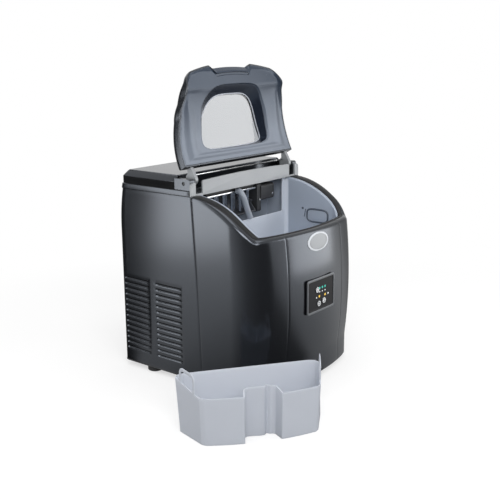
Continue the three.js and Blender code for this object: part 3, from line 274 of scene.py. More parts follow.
def makeWearGroup():
    # edge wear: corners that stick out, broken up by a medium noise
    group, source, sink = newGroup("edgeWear", {"Reach": 0.53, "Sharpness": 14.0, "Break Up": 60.0}, ["Mask"])
    pointy = addNode("NewGeometry", tree=group).outputs["Pointiness"]
    raised = mathNode("SUBTRACT", pointy, source["Reach"], clamp=True)
    edge = multiply(raised, source["Sharpness"], clamp=True)
    broken = noiseNode(objectCoord(group), source["Break Up"], 3.0, 0.6)
    feed(sink["Mask"], multiply(edge, broken, clamp=True))
    return group


def makeDustGroup():
    # settled dust: thin on faces that look up by more than the tilt, patchy
    tilt = 0.35
    group, source, sink = newGroup("settledDust", {"Amount": 0.2, "Patch Scale": 9.0}, ["Mask"])
    up = partsOf(addNode("NewGeometry", tree=group).outputs["Normal"])["Z"]
    patch = noiseNode(objectCoord(group), source["Patch Scale"], 6.0, 0.65)
    thin = multiply(mathNode("SUBTRACT", up, tilt, clamp=True), patch, clamp=True)
    feed(sink["Mask"], multiply(thin, source["Amount"], clamp=True))
    return group


grainGroup, wearGroup, dustGroup = makeGrainGroup(), makeWearGroup(), makeDustGroup()


def useGroup(tree, group, inputs=()):
    return addNode("Group", inputs, tree, node_tree=group).outputs


def mixColour(factor, first, second):
    return addNode("Mix", {0: factor, 6: first, 7: second}, data_type="RGBA").outputs[2]


noiseMiddle = (0.3, 0.7)  # the part of a noise that roughness follows


def cloudGloss(value, low, high):
    # roughness from low to high over the middle of a noise
    return rangeNode(value, *noiseMiddle, low, high)


def bumpNode(height, strength, distance):
    inputs = {"Strength": strength, "Distance": distance, "Height": height}
    return addNode("Bump", inputs).outputs["Normal"]


def scaled(colour, share):
    return tuple(min(c * share, 1) for c in colour)


dustLook = {"colour": (0.42, 0.41, 0.39), "rough": 0.6}
rubbedShare, speckShare = 0.16, 0.25  # how far worn edges go to white, how strongly specks show


def moulding(name, colour, rough, grain=900.0, strength=0.35, wear=0.5, dust=0.15, tone=0.12, spread=0.06,
             depth=0.00005, wave=0.3, waveScale=14.0, paintedShadeAbove=None, **constants):
    # a moulded or painted surface: uneven tone and gloss, grain, paler edges, a little dust, and where asked a darker
    # colour above a height as painted shade
    material, tree, shader = blankMaterial(name)
    grained = useGroup(tree, grainGroup, {"Grain Scale": grain, "Wave Scale": waveScale, "Wave Share": wave})
    worn = useGroup(tree, wearGroup)["Mask"]
    dusty = useGroup(tree, dustGroup, {"Amount": dust})["Mask"]
    base = mixColour(grained["Cloud"], scaled(colour, 1 - tone), scaled(colour, 1 + tone))
    if paintedShadeAbove:  # painted shade: another, darker colour above a height (start, end, colour)
        above = mathNode("SUBTRACT", partsOf(objectCoord(tree))["Z"], paintedShadeAbove[0])
        share = mathNode("DIVIDE", above, paintedShadeAbove[1] - paintedShadeAbove[0], clamp=True)
        base = mixColour(share, base, paintedShadeAbove[2])
    rubbed = tuple(c + (1 - c) * rubbedShare for c in colour)
    base = mixColour(multiply(worn, wear), base, rubbed)
    base = mixColour(dusty, base, dustLook["colour"])
    base = mixColour(multiply(grained["Speck"], speckShare), base, rubbed)
    gloss = cloudGloss(grained["Cloud"], rough - spread, rough + spread)
    gloss = mathNode("ADD", gloss, multiply(dusty, dustLook["rough"]), clamp=True)
    feedAll(shader, {"Base Color": base, "Roughness": gloss,
                     "Normal": bumpNode(grained["Height"], strength, depth)})
    words = {"metal": "Metallic", "specular": "Specular IOR Level", "tint": "Specular Tint"}
    feedAll(shader, {words[label]: value for label, value in constants.items()})
    return material


metalLook = {"grain": 900.0, "cloud": 35.0, "wear": 0.3, "tones": (0.8, 1.12, 1.3), "mix": (0.6, 0.4),
             "rough": (-0.07, 0.09), "bump": (0.3, 0.00004)}


def brushedMetal(name, colour, rough, axis=0, stretch=30.0):
    # drawn or rolled metal: noise stretched along one axis drives tone, gloss and a faint bump
    material, tree, shader = blankMaterial(name)
    coord = objectCoord(tree)
    scale = [metalLook["grain"]] * 3
    scale[axis] = stretch
    lines = noiseNode(addNode("Mapping", {"Scale": scale, "Vector": coord}).outputs[0], 1.0, 4.0)
    cloud = noiseNode(coord, metalLook["cloud"], 4.0)
    worn = multiply(useGroup(tree, wearGroup)["Mask"], metalLook["wear"])
    dark, pale, rubbed = (scaled(colour, share) for share in metalLook["tones"])
    parts = [multiply(noise, share) for noise, share in zip((lines, cloud), metalLook["mix"])]
    low, high = (rough + spread for spread in metalLook["rough"])
    feedAll(shader, {"Base Color": mixColour(worn, mixColour(lines, dark, pale), rubbed),
                     "Roughness": cloudGloss(mathNode("ADD", *parts), low, high),
                     "Normal": bumpNode(lines, *metalLook["bump"]), "Metallic": 1.0})
    return material


paneLook = {"haze": 22.0, "scratch": 260.0, "pale": 0.985, "spread": 0.05, "bump": (0.04, 0.00002), "index": 1.46}
lampLook = {"fleck": 1400.0, "dark": 0.7, "rough": (0.2, 0.35)}


def clearPlastic(name, colour, rough):
    # thin smoky pane: transmission stays plain, faint haze in the gloss, fine scratches
    material, tree, shader = blankMaterial(name)
    coord = objectCoord(tree)
    haze, scratches = noiseNode(coord, paneLook["haze"], 5.0, 0.6), noiseNode(coord, paneLook["scratch"], 2.0)
    feedAll(shader, {"Base Color": mixColour(haze, scaled(colour, paneLook["pale"]), colour),
                     "Roughness": cloudGloss(haze, rough, rough + paneLook["spread"]),
                     "Normal": bumpNode(scratches, *paneLook["bump"]),
                     "Transmission Weight": 1.0, "IOR": paneLook["index"]})
    return material


def lightSpot(name, colour, glow):
    # small lamp behind the control window, its tone and gloss broken by flecks
    material, tree, shader = blankMaterial(name)
    flecks = noiseNode(objectCoord(tree), lampLook["fleck"], 2.0)
    base = mixColour(flecks, scaled(colour, lampLook["dark"]), colour)
    feedAll(shader, {"Base Color": base, "Emission Color": base, "Emission Strength": glow,
                     "Roughness": cloudGloss(flecks, *lampLook["rough"])})
    return material


coolTint = (0.81, 0.885, 1.0)  # the black mouldings mirror a little blue
finishes = {  # a moulding's name, colour, roughness, grain scale, grain strength, wear, dust, uneven tone
    "black_housing": moulding("satinBlackHousing", (0.0065, 0.007, 0.0085), 0.2, 1500, 0.12, 0.3, 0.03, spread=0.02,
                              depth=0.00003, wave=0.5, waveScale=5.0, specular=1.0, tint=coolTint),
    "black_lid": moulding("satinBlackLid", (0.009, 0.01, 0.012), 0.27, 1500, 0.15, 0.3, 0.03, spread=0.03,
                          depth=0.00003, specular=0.9, tint=coolTint),
    "black_trim": moulding("matBlackTrim", (0.006, 0.0065, 0.008), 0.42, 1300, 0.3, 0.3, 0.03, specular=0.3),
    "liner_grey": moulding("coolGreyLiner", (0.34, 0.385, 0.46), 0.34, 700, 0.18, 0.25, 0.06, 0.06),
    # the lid's liner turns darker above a height: painted shade on its top band, which faces down, away from the
    # light
    "lid_grey": moulding("coolGreyLidLinerPaintedShade", (0.168, 0.19, 0.228), 0.22, 600, 0.12, 0.25, 0.0, 0.06, spread=0.04,
                         specular=0.35, tint=(0.76, 0.86, 1.0), paintedShadeAbove=(0.5, 0.6, (0.03, 0.041, 0.062))),
    # the liner's grey made paler: painted light where the chamber's floor, divider and corners face the light
    "liner_lit_grey": moulding("linerGreyPaintedLight", (0.58, 0.625, 0.7), 0.4, 700, 0.18, 0.2, 0.05, 0.05),
    # painted shade for recesses: the dark grey of the sensor recess, its hole and its slit
    "recess_shade_grey": moulding("paintedRecessShade", (0.07, 0.085, 0.11), 0.4, 700, 0.2, 0.1, 0.0, 0.06),
    "hose_grey": moulding("greyHose", (0.3, 0.33, 0.38), 0.3, 700, 0.15, 0.1, 0.03, 0.06),
    # the tray's grey darkened to near black: partly its own grey, mostly painted shade where it sits behind the
    # fingers in the freezer
    "tray_grey": moulding("greyTrayPaintedShade", (0.05, 0.055, 0.066), 0.3, 700, 0.15, 0.25, 0.05, 0.08),
    "basket_grey": moulding("paleGreyBasket", (0.53, 0.56, 0.62), 0.42, 800, 0.2, 0.2, 0.04, 0.05),
    "silver_plastic": moulding("silverPaintedPlastic", (0.25, 0.262, 0.275), 0.36, 2600, 0.3, 0.35, 0.08, 0.07,
                               metal=0.25),
    # painted shade for the cove: darker and more matt than the housing
    "cove_shade_black": moulding("shadowBlack", (0.003, 0.0033, 0.004), 0.6, 1200, 0.2, 0.05, 0.0, specular=0.08),
    "sleeve_dark": moulding("smokedSleeve", (0.012, 0.016, 0.026), 0.22, 900, 0.15, 0.1, 0.0, 0.1,
                            specular=0.35, tint=(0.6, 0.76, 1.0)),
    "control_glass": moulding("polishedBlackWindow", (0.006, 0.006, 0.008), 0.08, 300, 0.08, 0.1, 0.0, spread=0.02,
                              depth=0.00001, specular=0.2),
    "bezel": moulding("gunmetalBezel", (0.12, 0.127, 0.138), 0.33, 2600, 0.3, 0.5, 0.05, metal=0.5),
    "button": moulding("darkButtonCap", (0.02, 0.021, 0.024), 0.3, 900, 0.2),
    "white_print": moulding("whitePrint", (0.9, 0.92, 0.94), 0.5, 1200, 0.1, 0.0, 0.0, 0.05),
    "steel": brushedMetal("drawnSteel", (0.6, 0.61, 0.62), 0.26),
    "finger_steel": brushedMetal("platedFingers", (0.62, 0.63, 0.65), 0.16, axis=2, stretch=60.0),
    "fin_metal": brushedMetal("rolledFins", (0.55, 0.52, 0.48), 0.38, axis=2),
    "dark_metal": moulding("blackPaintedSheet", (0.03, 0.032, 0.035), 0.5, 1800, 0.3, 0.6, 0.3),
    "motor_dark": moulding("darkTechnicalMoulding", (0.028, 0.029, 0.032), 0.52, 1200, 0.4, 0.5, 0.25),
    "white_plastic": moulding("whiteMoulding", (0.62, 0.65, 0.69), 0.4, 700, 0.2, 0.15, 0.1, 0.05),
    "board_green": moulding("lacqueredBoard", (0.03, 0.12, 0.05), 0.35, 500, 0.4, 0.6),
    "rubber": moulding("softRubber", (0.02, 0.02, 0.021), 0.8, 600, 0.6, 0.4, 0.4),
    "window_clear": clearPlastic("smokyPane", (0.5, 0.515, 0.535), 0.02),
    "lampGreen": lightSpot("greenLamp", (0.02, 0.42, 0.33), 0.5),
    "lampAmber": lightSpot("amberLamp", (0.8, 0.5, 0.04), 0.6),
}
print("finishes ready:", len(finishes))

mm = 0.001
hinge = {"y": 21.0, "z": 417.0}
mergeGap = 0.00002  # corners of a node's loose triangles this close, in metres, are one


def turned(a, b, angle):
    # a pair of coordinates turned about the origin
    return a * np.cos(angle) - b * np.sin(angle), a * np.sin(angle) + b * np.cos(angle)


def openLid(points):
    # turns points drawn with the lid closed about the hinge axis to the open rest position
    p = np.array(points, float)
    y, z = turned(p[..., 1] - hinge["y"], p[..., 2] - hinge["z"], lidTurn)
    p[..., 1], p[..., 2] = hinge["y"] + y, hinge["z"] + z
    return p


bothSides = ((-1, "left"), (1, "right"))
restPlace = {"lid": openLid}  # how a body's pieces go from where they are drawn to where they stand at rest


def lerp(a, b, t):
    # straight line from a to b
    return a + (b - a) * t


def smoothStep(value, low, high):
    # 0 below low, 1 above high, a cubic ease between
    t = np.clip((value - low) / (high - low), 0, 1)
    return t * t * (3 - 2 * t)


def hump(value, middle, width):
    # bell curve of height 1
    return np.exp(-((value - middle) / width) ** 2)


def stationRow(*parts):
    # rows of evenly spaced numbers joined end to end: (from, to, count) each
    rows = [np.linspace(a, b, n + 1) for a, b, n in parts]
    return np.concatenate([rows[0]] + [r[1:] for r in rows[1:]])


def quarter(value, start):
    # a quarter turn, made as the value goes from its start to one more
    return np.clip(value - start, 0, 1) * np.pi / 2


def fullTurn(count):
    # angles evenly round a circle
    return np.arange(count) / count * 2 * np.pi


def gridIndex(rows, columns):
    # row and column number of every cell
    return [g.ravel() for g in np.meshgrid(np.arange(rows), np.arange(columns), indexing="ij")]


def cellFaces(nu, nv, closed, keep=None):
    # quads of a two-skin grid: points are numbered skin by skin, u by u, v by v. Cells where keep is false
    # are left out of both skins, and every edge between a kept and a left-out cell gets a wall
    cu = nu if closed else nu - 1
    keep = np.ones((cu, nv - 1), bool) if keep is None else keep
    i, j = np.nonzero(keep)

    def at(a, b, skin):
        return (a % nu) * nv + b + skin * nu * nv

    faces = [np.stack([at(i, j, 0), at(i + 1, j, 0), at(i + 1, j + 1, 0), at(i, j + 1, 0)], 1),
             np.stack([at(i, j + 1, 1), at(i + 1, j + 1, 1), at(i + 1, j, 1), at(i, j, 1)], 1)]
    blankU, blankV = np.zeros((1, nv - 1), bool), np.zeros((cu, 1), bool)
    before = np.concatenate([keep[-1:] if closed else blankU, keep[:-1]])
    after = np.concatenate([keep[1:], keep[:1] if closed else blankU])
    below = np.concatenate([blankV, keep[:, :-1]], 1)
    above = np.concatenate([keep[:, 1:], blankV], 1)
    for beside, (p, q), (r, s) in ((before, (0, 0), (0, 1)), (after, (1, 1), (1, 0)),
                                   (below, (1, 0), (0, 0)), (above, (0, 1), (1, 1))):
        a, b = np.nonzero(keep & ~beside)
        near, far = (a + p, b + q), (a + r, b + s)
        faces.append(np.stack([at(*near, 0), at(*far, 0), at(*far, 1), at(*near, 1)], 1))
    return np.concatenate(faces)


def twoSkins(shape, u, v, closed=False, keep=None):
    # a sheet with thickness: shape(u, v, w) gives x, y, z arrays for the outer skin (w = 0) and the inner (w = 1)
    uu, vv = np.meshgrid(u, v, indexing="ij")
    skins = [np.stack(np.broadcast_arrays(*shape(uu, vv, w)), -1).reshape(-1, 3) for w in (0.0, 1.0)]
    return np.concatenate(skins), cellFaces(len(u), len(v), closed, keep)


def cellsWithout(u, v, *gaps):
    # which cells of a grid are kept: all but the given spans (first and last of u, first and last of v)
    keep = np.ones((len(u) - 1, len(v) - 1), bool)
    for first, last, low, high in gaps:
        keep[first:last, low:high] = False
    return keep


def turnedProfile(profile, sides):
    # a profile of (radius, height) rows turned about z, closed at both ends by its own end rows
    r, h = np.asarray(profile, float).T
    a, k = fullTurn(sides), len(h)
    ring = np.stack([np.outer(np.cos(a), r), np.outer(np.sin(a), r), np.broadcast_to(h, (sides, k))], -1)
    i, j = gridIndex(sides, k - 1)
    n = (i + 1) % sides
    quads = np.stack([i * k + j, n * k + j, n * k + j + 1, i * k + j + 1], 1)
    caps = [np.arange(sides)[::-1] * k, np.arange(sides) * k + k - 1]
    return ring.reshape(-1, 3), quads.tolist() + [c.tolist() for c in caps]


def unit(vectors):
    # each row cut to length 1
    return vectors / np.linalg.norm(vectors, axis=1, keepdims=True)


def tubeFaces(n, k, closedPath=False):
    # quads between n sections of k points; an open tube gets a flat end at each side
    i, j = gridIndex(n if closedPath else n - 1, k)
    a, b = (i + 1) % n, (j + 1) % k
    quads = np.stack([i * k + j, a * k + j, a * k + b, i * k + b], 1).tolist()
    return quads if closedPath else quads + [list(range(k - 1, -1, -1)), list(range((n - 1) * k, n * k))]


def sweptTube(path, section, closedPath=False, guide=(0.0, 0.0, 1.0)):
    # a section of (across, up) points carried along a path of 3-D points on frames that don't twist
    p = np.asarray(path, float)
    t = unit(np.roll(p, -1, 0) - np.roll(p, 1, 0) if closedPath else np.gradient(p, axis=0))
    side = unit(np.cross(t, guide))
    flat = np.broadcast_to(section, (len(p), *np.shape(section)[-2:]))
    points = p[:, None] + side[:, None] * flat[..., :1] + np.cross(side, t)[:, None] * flat[..., 1:]
    return points.reshape(-1, 3), tubeFaces(*points.shape[:2], closedPath)


def circleSection(radius, sides):
    # radius times cosine and sine of angles evenly round
    return np.stack([np.cos(fullTurn(sides)), np.sin(fullTurn(sides))], 1) * radius


def smoothPath(points, count):
    # evenly stepped cubic through the given points
    p = np.asarray(points, float)
    p = np.concatenate([2 * p[:1] - p[1:2], p, 2 * p[-1:] - p[-2:-1]])
    t = np.linspace(0, len(p) - 3 - 1e-9, count)
    k = t.astype(int)
    f = (t - k)[:, None]
    a, b, c, d = p[k], p[k + 1], p[k + 2], p[k + 3]
    return 0.5 * (2 * b + (c - a) * f + (2 * a - 5 * b + 4 * c - d) * f ** 2 + (3 * b - a - 3 * c + d) * f ** 3)


def flatSlab(outline, z0, z1):
    # an outline in the plane as one face below and one above with upright sides
    p, n = np.asarray(outline, float), len(outline)
    points = np.concatenate([np.column_stack([p, np.full(n, z)]) for z in (z0, z1)])
    i = np.arange(n)
    sides = np.stack([i, (i + 1) % n, (i + 1) % n + n, i + n], 1).tolist()
    return points, sides + [list(range(n - 1, -1, -1)), list(range(n, 2 * n))]


def joinMeshes(*parts):
    # several (points, faces) as one
    starts = np.cumsum([0] + [len(p) for p, f in parts])
    faces = [[int(i) + start for i in face] for (p, f), start in zip(parts, starts.tolist()) for face in f]
    return np.concatenate([p for p, f in parts]), faces


def finishPiece(name, mesh, finish, body, stands=(), bevel=0.0, segments=2, angle=32, even=False):
    # smooth shading with sharp edges kept, a fine rounding where asked, material, body and what it stands for
    obj = addObject(name, mesh, (0, 0, 0), (0, 0, 0))
    mesh.materials.clear()
    mesh.materials.append(finishes[finish])
    mesh.shade_smooth()
    if bevel:
        rounding = obj.modifiers.new("rounding", "BEVEL")
        rounding.width, rounding.segments, rounding.angle_limit = bevel * mm, segments, np.radians(angle)
        rounding.limit_method, rounding.miter_outer = "ANGLE", "MITER_ARC"
        if even:  # large flats keep their own shading, only the roundings turn
            obj.modifiers.new("evenFlats", "WEIGHTED_NORMAL").keep_sharp = True
    else:
        mesh.set_sharp_from_angle(angle=np.radians(angle))
    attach(obj, body)
    if stands:
        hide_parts(*stands)


def addPiece(name, shape, finish, body="machine", **options):
    # shape is (points in machine millimetres, faces); every closed part's faces are turned outwards
    points, faces = shape
    points = restPlace.get(body, np.asarray)(points) * mm + origin
    mesh = bpy.data.meshes.new(name)
    mesh.from_pydata(points.tolist(), [], faces.tolist() if isinstance(faces, np.ndarray) else faces)
    mesh.validate()
    work = bmesh.new()
    work.from_mesh(mesh)
    bmesh.ops.recalc_face_normals(work, faces=work.faces)
    work.to_mesh(mesh)
    work.free()
    finishPiece(name, mesh, finish, body, **options)


def refineNode(node, finish, bevel=0.5, body="machine", flat=0.6, **options):
    # copy of a node with its loose triangles merged, flat areas joined and its edges rounded
    mesh = bpy.data.meshes.new(node + "_moulding")
    work = bmesh.new()
    work.from_mesh(nodes[node].data)
    bmesh.ops.remove_doubles(work, verts=work.verts, dist=mergeGap)
    if flat:
        bmesh.ops.dissolve_limit(work, angle_limit=np.radians(flat), verts=work.verts, edges=work.edges)
    work.to_mesh(mesh)
    work.free()
    finishPiece(node + "_piece", mesh, finish, body, (node,), bevel=bevel, even=True, **options)


# plan and mouth outlines that the housing, rim, chamber and lid share
body = {"halfWidth": 180.0, "rearY": 212.0, "frontY": -176.0, "floorZ": 14.0, "cornerRadius": 66.0,
        "frontRadius": 500.0, "rearCorner": 16.0, "bulge": 9.0, "bulgeZ": 190.0, "bulgeEndY": -30.0,
        "rearLean": 9.0, "leanStartZ": 310.0, "leanStartY": 60.0, "wall": 3.0, "gap": 0.3}
seam = {"topZ": 393.0, "topY": -1.0, "bottomY": -21.0, "bow": 1.5}
mouth = {"y": 14.0, "radius": 194.0, "frontZ": 322.0}
shoulder = {"drop": 9.0, "cornerDrop": 12.0, "front": 10.0, "corner": 9.0, "lidCorner": 14.0, "rear": 3.4,
            "turnIn": (0.55, 0.65), "split": 0.8}  # plan shares where the front turns in, height share of the arc
band = {"front": 17.5, "side": 27.5, "height": 5.0, "crown": 1.6}
lip = {"front": 5.0, "side": 8.0, "drop": 1.0}
plan = {"arc": 0.5, "corner": 0.75}  # share of half the outline at which the wide arc and the corner end
cornerX = body["halfWidth"] - body["cornerRadius"]
frontCentreY = body["frontY"] + body["frontRadius"]
cornerY = frontCentreY - np.sqrt((body["frontRadius"] - body["cornerRadius"]) ** 2 - cornerX ** 2)
cornerStart = np.arctan2(cornerX, frontCentreY - cornerY)
wellHalf = body["halfWidth"] - band["side"] - lip["side"]
arcZ = seam["topZ"] - mouth["radius"]
creaseY = mouth["y"] - np.sqrt(mouth["radius"] ** 2 - (mouth["frontZ"] - arcZ) ** 2)


def planPoint(s, inset, backY):
    # plan of the front half: a wide arc, then a corner arc, then straight back to backY
    t, arc, corner = np.abs(s), plan["arc"], plan["corner"]
    straight = (t - corner) / (1 - corner)
    a, b = t / arc * cornerStart, lerp(cornerStart, np.pi / 2, (t - arc) / (corner - arc))
    r, q = body["frontRadius"] - inset, body["cornerRadius"] - inset
    x = np.where(t <= arc, r * np.sin(a),
                 np.where(t <= corner, cornerX + q * np.sin(b), body["halfWidth"] - inset))
    y = np.where(t <= arc, frontCentreY - r * np.cos(a),
                 np.where(t <= corner, cornerY - q * np.cos(b), lerp(cornerY, backY, straight)))
    return np.where(s < 0, -x, x), y


def archHeight(y, rise):
    # height of the circle that the mouth's edge falls along, grown outwards by a rise
    return arcZ + np.sqrt(np.maximum((mouth["radius"] + rise) ** 2 - np.minimum(y - mouth["y"], 0) ** 2, 0))


def rimZ(y):
    # the mouth's edge: its arch, but never below the level front
    return np.maximum(archHeight(y, 0), mouth["frontZ"])


def stationAt(x):
    # station on the front's wide arc at a distance from the centre line
    return plan["arc"] * np.arcsin(x / body["frontRadius"]) / cornerStart


def sideShare(s):
    # 0 along the front, 1 along the side, easing over the corner
    return smoothStep(np.abs(s), plan["arc"], plan["corner"])


def creaseInset(s, corner=shoulder["corner"]):
    # where the housing's rounded shoulder meets the dark rim
    t = np.abs(s)
    front = lerp(shoulder["front"], corner, smoothStep(t, *shoulder["turnIn"]))
    side = lerp(shoulder["rear"], corner, ((1 - t) / (1 - plan["corner"])) ** 2)
    return np.where(t < plan["corner"], front, side)


def rimInset(s):
    # inner edge of the dark rim, wider at the sides
    return lerp(band["front"], band["side"], sideShare(s))


def wellInset(s):
    # inner edge of the chamber's pale lip
    return rimInset(s) + lerp(lip["front"], lip["side"], sideShare(s))


def bulgeAt(y, z):
    # barrel shape of the front: greatest at mid height, fading out at the mouth and towards the sides
    reach = np.clip((body["bulgeEndY"] - y) / (body["bulgeEndY"] - body["frontY"]), 0, 1)
    height = np.maximum(1 - ((z - body["bulgeZ"]) / (mouth["frontZ"] - body["bulgeZ"])) ** 2, 0)
    return body["bulge"] * height * reach * reach * (3 - 2 * reach)


def seamY(z):
    # a leaning line, slightly bowed to the front
    t = (seam["topZ"] - z) / (seam["topZ"] - body["floorZ"])
    return lerp(seam["topY"], seam["bottomY"], t) - seam["bow"] * np.sin(np.pi * t)


def rearLean(y, z):
    # how far the back leans forward: with the square of the height, fading in from the middle to the rear corner
    share = np.clip((z - body["leanStartZ"]) / (seam["topZ"] - body["leanStartZ"]), 0, 1.5)
    return body["rearLean"] * share ** 2 * smoothStep(y, body["leanStartY"], body["rearY"] - body["rearCorner"])


def frontWall(backGap):
    # plan point at each station and height, pushed out by the bulge; the top turns in over the shoulder arc
    def shape(s, v, w):
        t, split = w * body["wall"], shoulder["split"]
        crease = creaseInset(s)
        share = smoothStep(np.abs(s), *shoulder["turnIn"]) * np.clip((crease - shoulder["rear"]) / 3, 0, 1)
        drop = lerp(shoulder["drop"], shoulder["cornerDrop"], share)
        foot = rimZ(planPoint(s, crease, seam["topY"])[1]) - drop
        turn = np.clip((v - split) / (1 - split), 0, 1) * np.pi / 2
        z = np.where(v > split, foot + (drop - t) * np.sin(turn), lerp(body["floorZ"], foot, v / split))
        x, y = planPoint(s, lerp(crease, t, np.cos(turn)), seamY(z) - backGap)
        return x, y - bulgeAt(y, z), z
    return shape


# front housing: two cheeks and the centre panel, whose columns and rows fall on the control opening
centre = {"halfWidth": 95.0, "controlZ": 188.0, "controlHalf": (45.0, 32.0), "columns": (8, 12, 8),
          "rows": (18, 8, 16, 10), "cheekRows": 44}
split = shoulder["split"]
heights = stationRow((0, split, centre["cheekRows"]), (split, 1, centre["rows"][3]))
edgeStation = stationAt(centre["halfWidth"] + body["gap"])
cheek = stationRow((edgeStation, plan["arc"], 10), (plan["arc"], plan["corner"], 26), (plan["corner"], 1, 16))
for side, label in bothSides:
    addPiece("front_cheek_" + label, twoSkins(frontWall(body["gap"]), side * cheek, heights), "black_housing",
             stands=("front_housing_" + label,), bevel=0.7, segments=3)

foot = mouth["frontZ"] - shoulder["drop"]
low, high = ((centre["controlZ"] + k * centre["controlHalf"][1] - body["floorZ"]) / (foot - body["floorZ"]) * split
             for k in (-1, 1))
panelEdge, hole = stationAt(centre["halfWidth"]), stationAt(centre["controlHalf"][0])
columnEnds, rowEnds = (-panelEdge, -hole, hole, panelEdge), (0, low, high, split, 1)
panelColumns = stationRow(*zip(columnEnds, columnEnds[1:], centre["columns"]))
panelRows = stationRow(*zip(rowEnds, rowEnds[1:], centre["rows"]))
(left, across, _), (under, tall, *_) = centre["columns"], centre["rows"]
keep = cellsWithout(panelColumns, panelRows, (left, left + across, under, under + tall))
addPiece("front_centre", twoSkins(frontWall(0.0), panelColumns, panelRows, keep=keep), "black_housing",
         stands=("front_panel",), bevel=0.7, segments=3)
print("front housing done")

# side panels with two columns of slanted louvres
louvre = {"count": 14, "pitch": 12.0, "height": 5.0, "length": 72.0, "between": 21.0, "rearInset": 14.0,
          "topZ": 201.0, "shift": 1.0, "slant": 4.0, "slantFade": 12.0, "bow": 2.6, "bowStartY": 40.0,
          "steps": (8, 10, 3, 10, 8)}  # grid steps before, over, between, over and behind the two columns


def sidePanel(side):
    # a wall from the seam back, round the rear corner; rows between the slots slant inwards and up
    low = louvre["topZ"] - louvre["shift"] - np.arange(louvre["count"])[::-1] * louvre["pitch"] - louvre["height"] / 2
    slots = np.stack([low, low + louvre["height"]], 1).ravel()
    z = np.concatenate([np.linspace(body["floorZ"], slots[0], 5)[:-1], slots,
                        np.linspace(slots[-1], seam["topZ"] - body["gap"], 22)[1:]])
    rear, r = body["rearY"] - louvre["rearInset"], body["rearCorner"]
    cornerStartY = body["rearY"] - r
    ends = [rear - 2 * louvre["length"] - louvre["between"], rear - louvre["length"] - louvre["between"],
            rear - louvre["length"], rear]
    u = stationRow(*((k, k + 1, count) for k, count in enumerate(louvre["steps"])))

    def shape(u, z, w):
        t = w * body["wall"]
        lift = w * louvre["slant"] * smoothStep(z, slots[0] - louvre["slantFade"], slots[0])
        lift = lift * (1 - smoothStep(z, slots[-1], slots[-1] + louvre["slantFade"]))
        y = np.where(u < 1, lerp(seamY(z), ends[0], u), np.interp(u, [0, 1, 2, 3, 4], [0.0, *ends]))
        a = lerp(np.arcsin((rear - cornerStartY) / r), np.pi / 2, np.clip(u - 4, 0, 1))
        x = np.where(u > 4, body["halfWidth"] - r + (r - t) * np.cos(a), body["halfWidth"] - t)
        y = np.where(u > 4, cornerStartY + (r - t) * np.sin(a), y)
        bow = np.clip((y - louvre["bowStartY"]) / (cornerStartY - louvre["bowStartY"]), 0, 1)
        return side * (x - louvre["bow"] * bow ** 2), y - rearLean(y, z), z + lift
    rows, column = range(4, 4 + 2 * louvre["count"], 2), np.cumsum(louvre["steps"])
    gaps = [(column[k], column[k + 1], row, row + 1) for k in (0, 2) for row in rows]
    return twoSkins(shape, u, z, keep=cellsWithout(u, z, *gaps))


for side, label in bothSides:
    addPiece("side_wall_" + label, sidePanel(side), "black_housing", stands=("side_panel_" + label,), bevel=0.6)
print("side panels done")

# top surround: side band, cove and sloped ledge along a U-shaped path; the ledge starts behind the hinge
surround = {"bandZ": 403.0, "coveZ": 419.0, "deckZ": 431.0, "cove": 3.0, "slope": 14.0, "deckFrontY": 46.0,
            "hingeBackY": 2.8, "coveRound": (1.2, 1.5), "ledgeRound": (1.4, 1.5), "thin": 0.8,
            "strip": (0.5, 1.8, 0.2)}  # the cove's strip of painted shade: how far out, above the band, below the ledge


def surroundPath(u, inset):
    # up one side, round the rear corners and back: u 0..1 straight to the ledge's start, then to the corner
    t = np.where(u < 4, u, 8 - u)
    r = np.maximum(body["rearCorner"] - inset, 1)
    cx, cy = body["halfWidth"] - inset - r, body["rearY"] - inset - r
    straight = np.where(t < 1, lerp(surround["hingeBackY"], surround["deckFrontY"], t),
                        lerp(surround["deckFrontY"], cy, t - 1))
    a = quarter(t, 2)
    x = np.where(t <= 2, body["halfWidth"] - inset, np.where(t <= 3, cx + r * np.cos(a), lerp(cx, 0, t - 3)))
    y = np.where(t <= 2, straight, np.where(t <= 3, cy + r * np.sin(a), body["rearY"] - inset))
    return np.where(u < 4, x, -x), y


def surroundShape(u, v, w):
    # an inset and a height for each row, 0 and 1 the band, 2 and 3 the cove, 4 and 5 the ledge
    c, t, steps = surround, w * body["wall"], [0, 1, 2, 3, 4, 5]
    inset = np.interp(v, steps, [0, 0, c["cove"], c["cove"], c["cove"] + c["coveRound"][0], c["slope"]])
    z = np.interp(v, steps, [seam["topZ"], c["bandZ"], c["bandZ"] + c["coveRound"][1], c["coveZ"],
                             c["coveZ"] + c["ledgeRound"][0], c["deckZ"] - c["ledgeRound"][1]])
    z = z - np.where(v > 1.5, t * c["thin"], 0)
    x, y = surroundPath(u, inset + np.where(v > 4.9, 0, t))
    return x, y - rearLean(y, np.minimum(z, c["bandZ"])), z


def coveShape(u, v, w):
    # a near-black matt strip in the upright of the cove: painted shade where the cove lies in shadow
    out, low, high = surround["strip"]
    x, y = surroundPath(u, surround["cove"] - out + w)
    return x, y - rearLean(y, surround["bandZ"]), lerp(surround["bandZ"] + low, surround["coveZ"] - high, v)


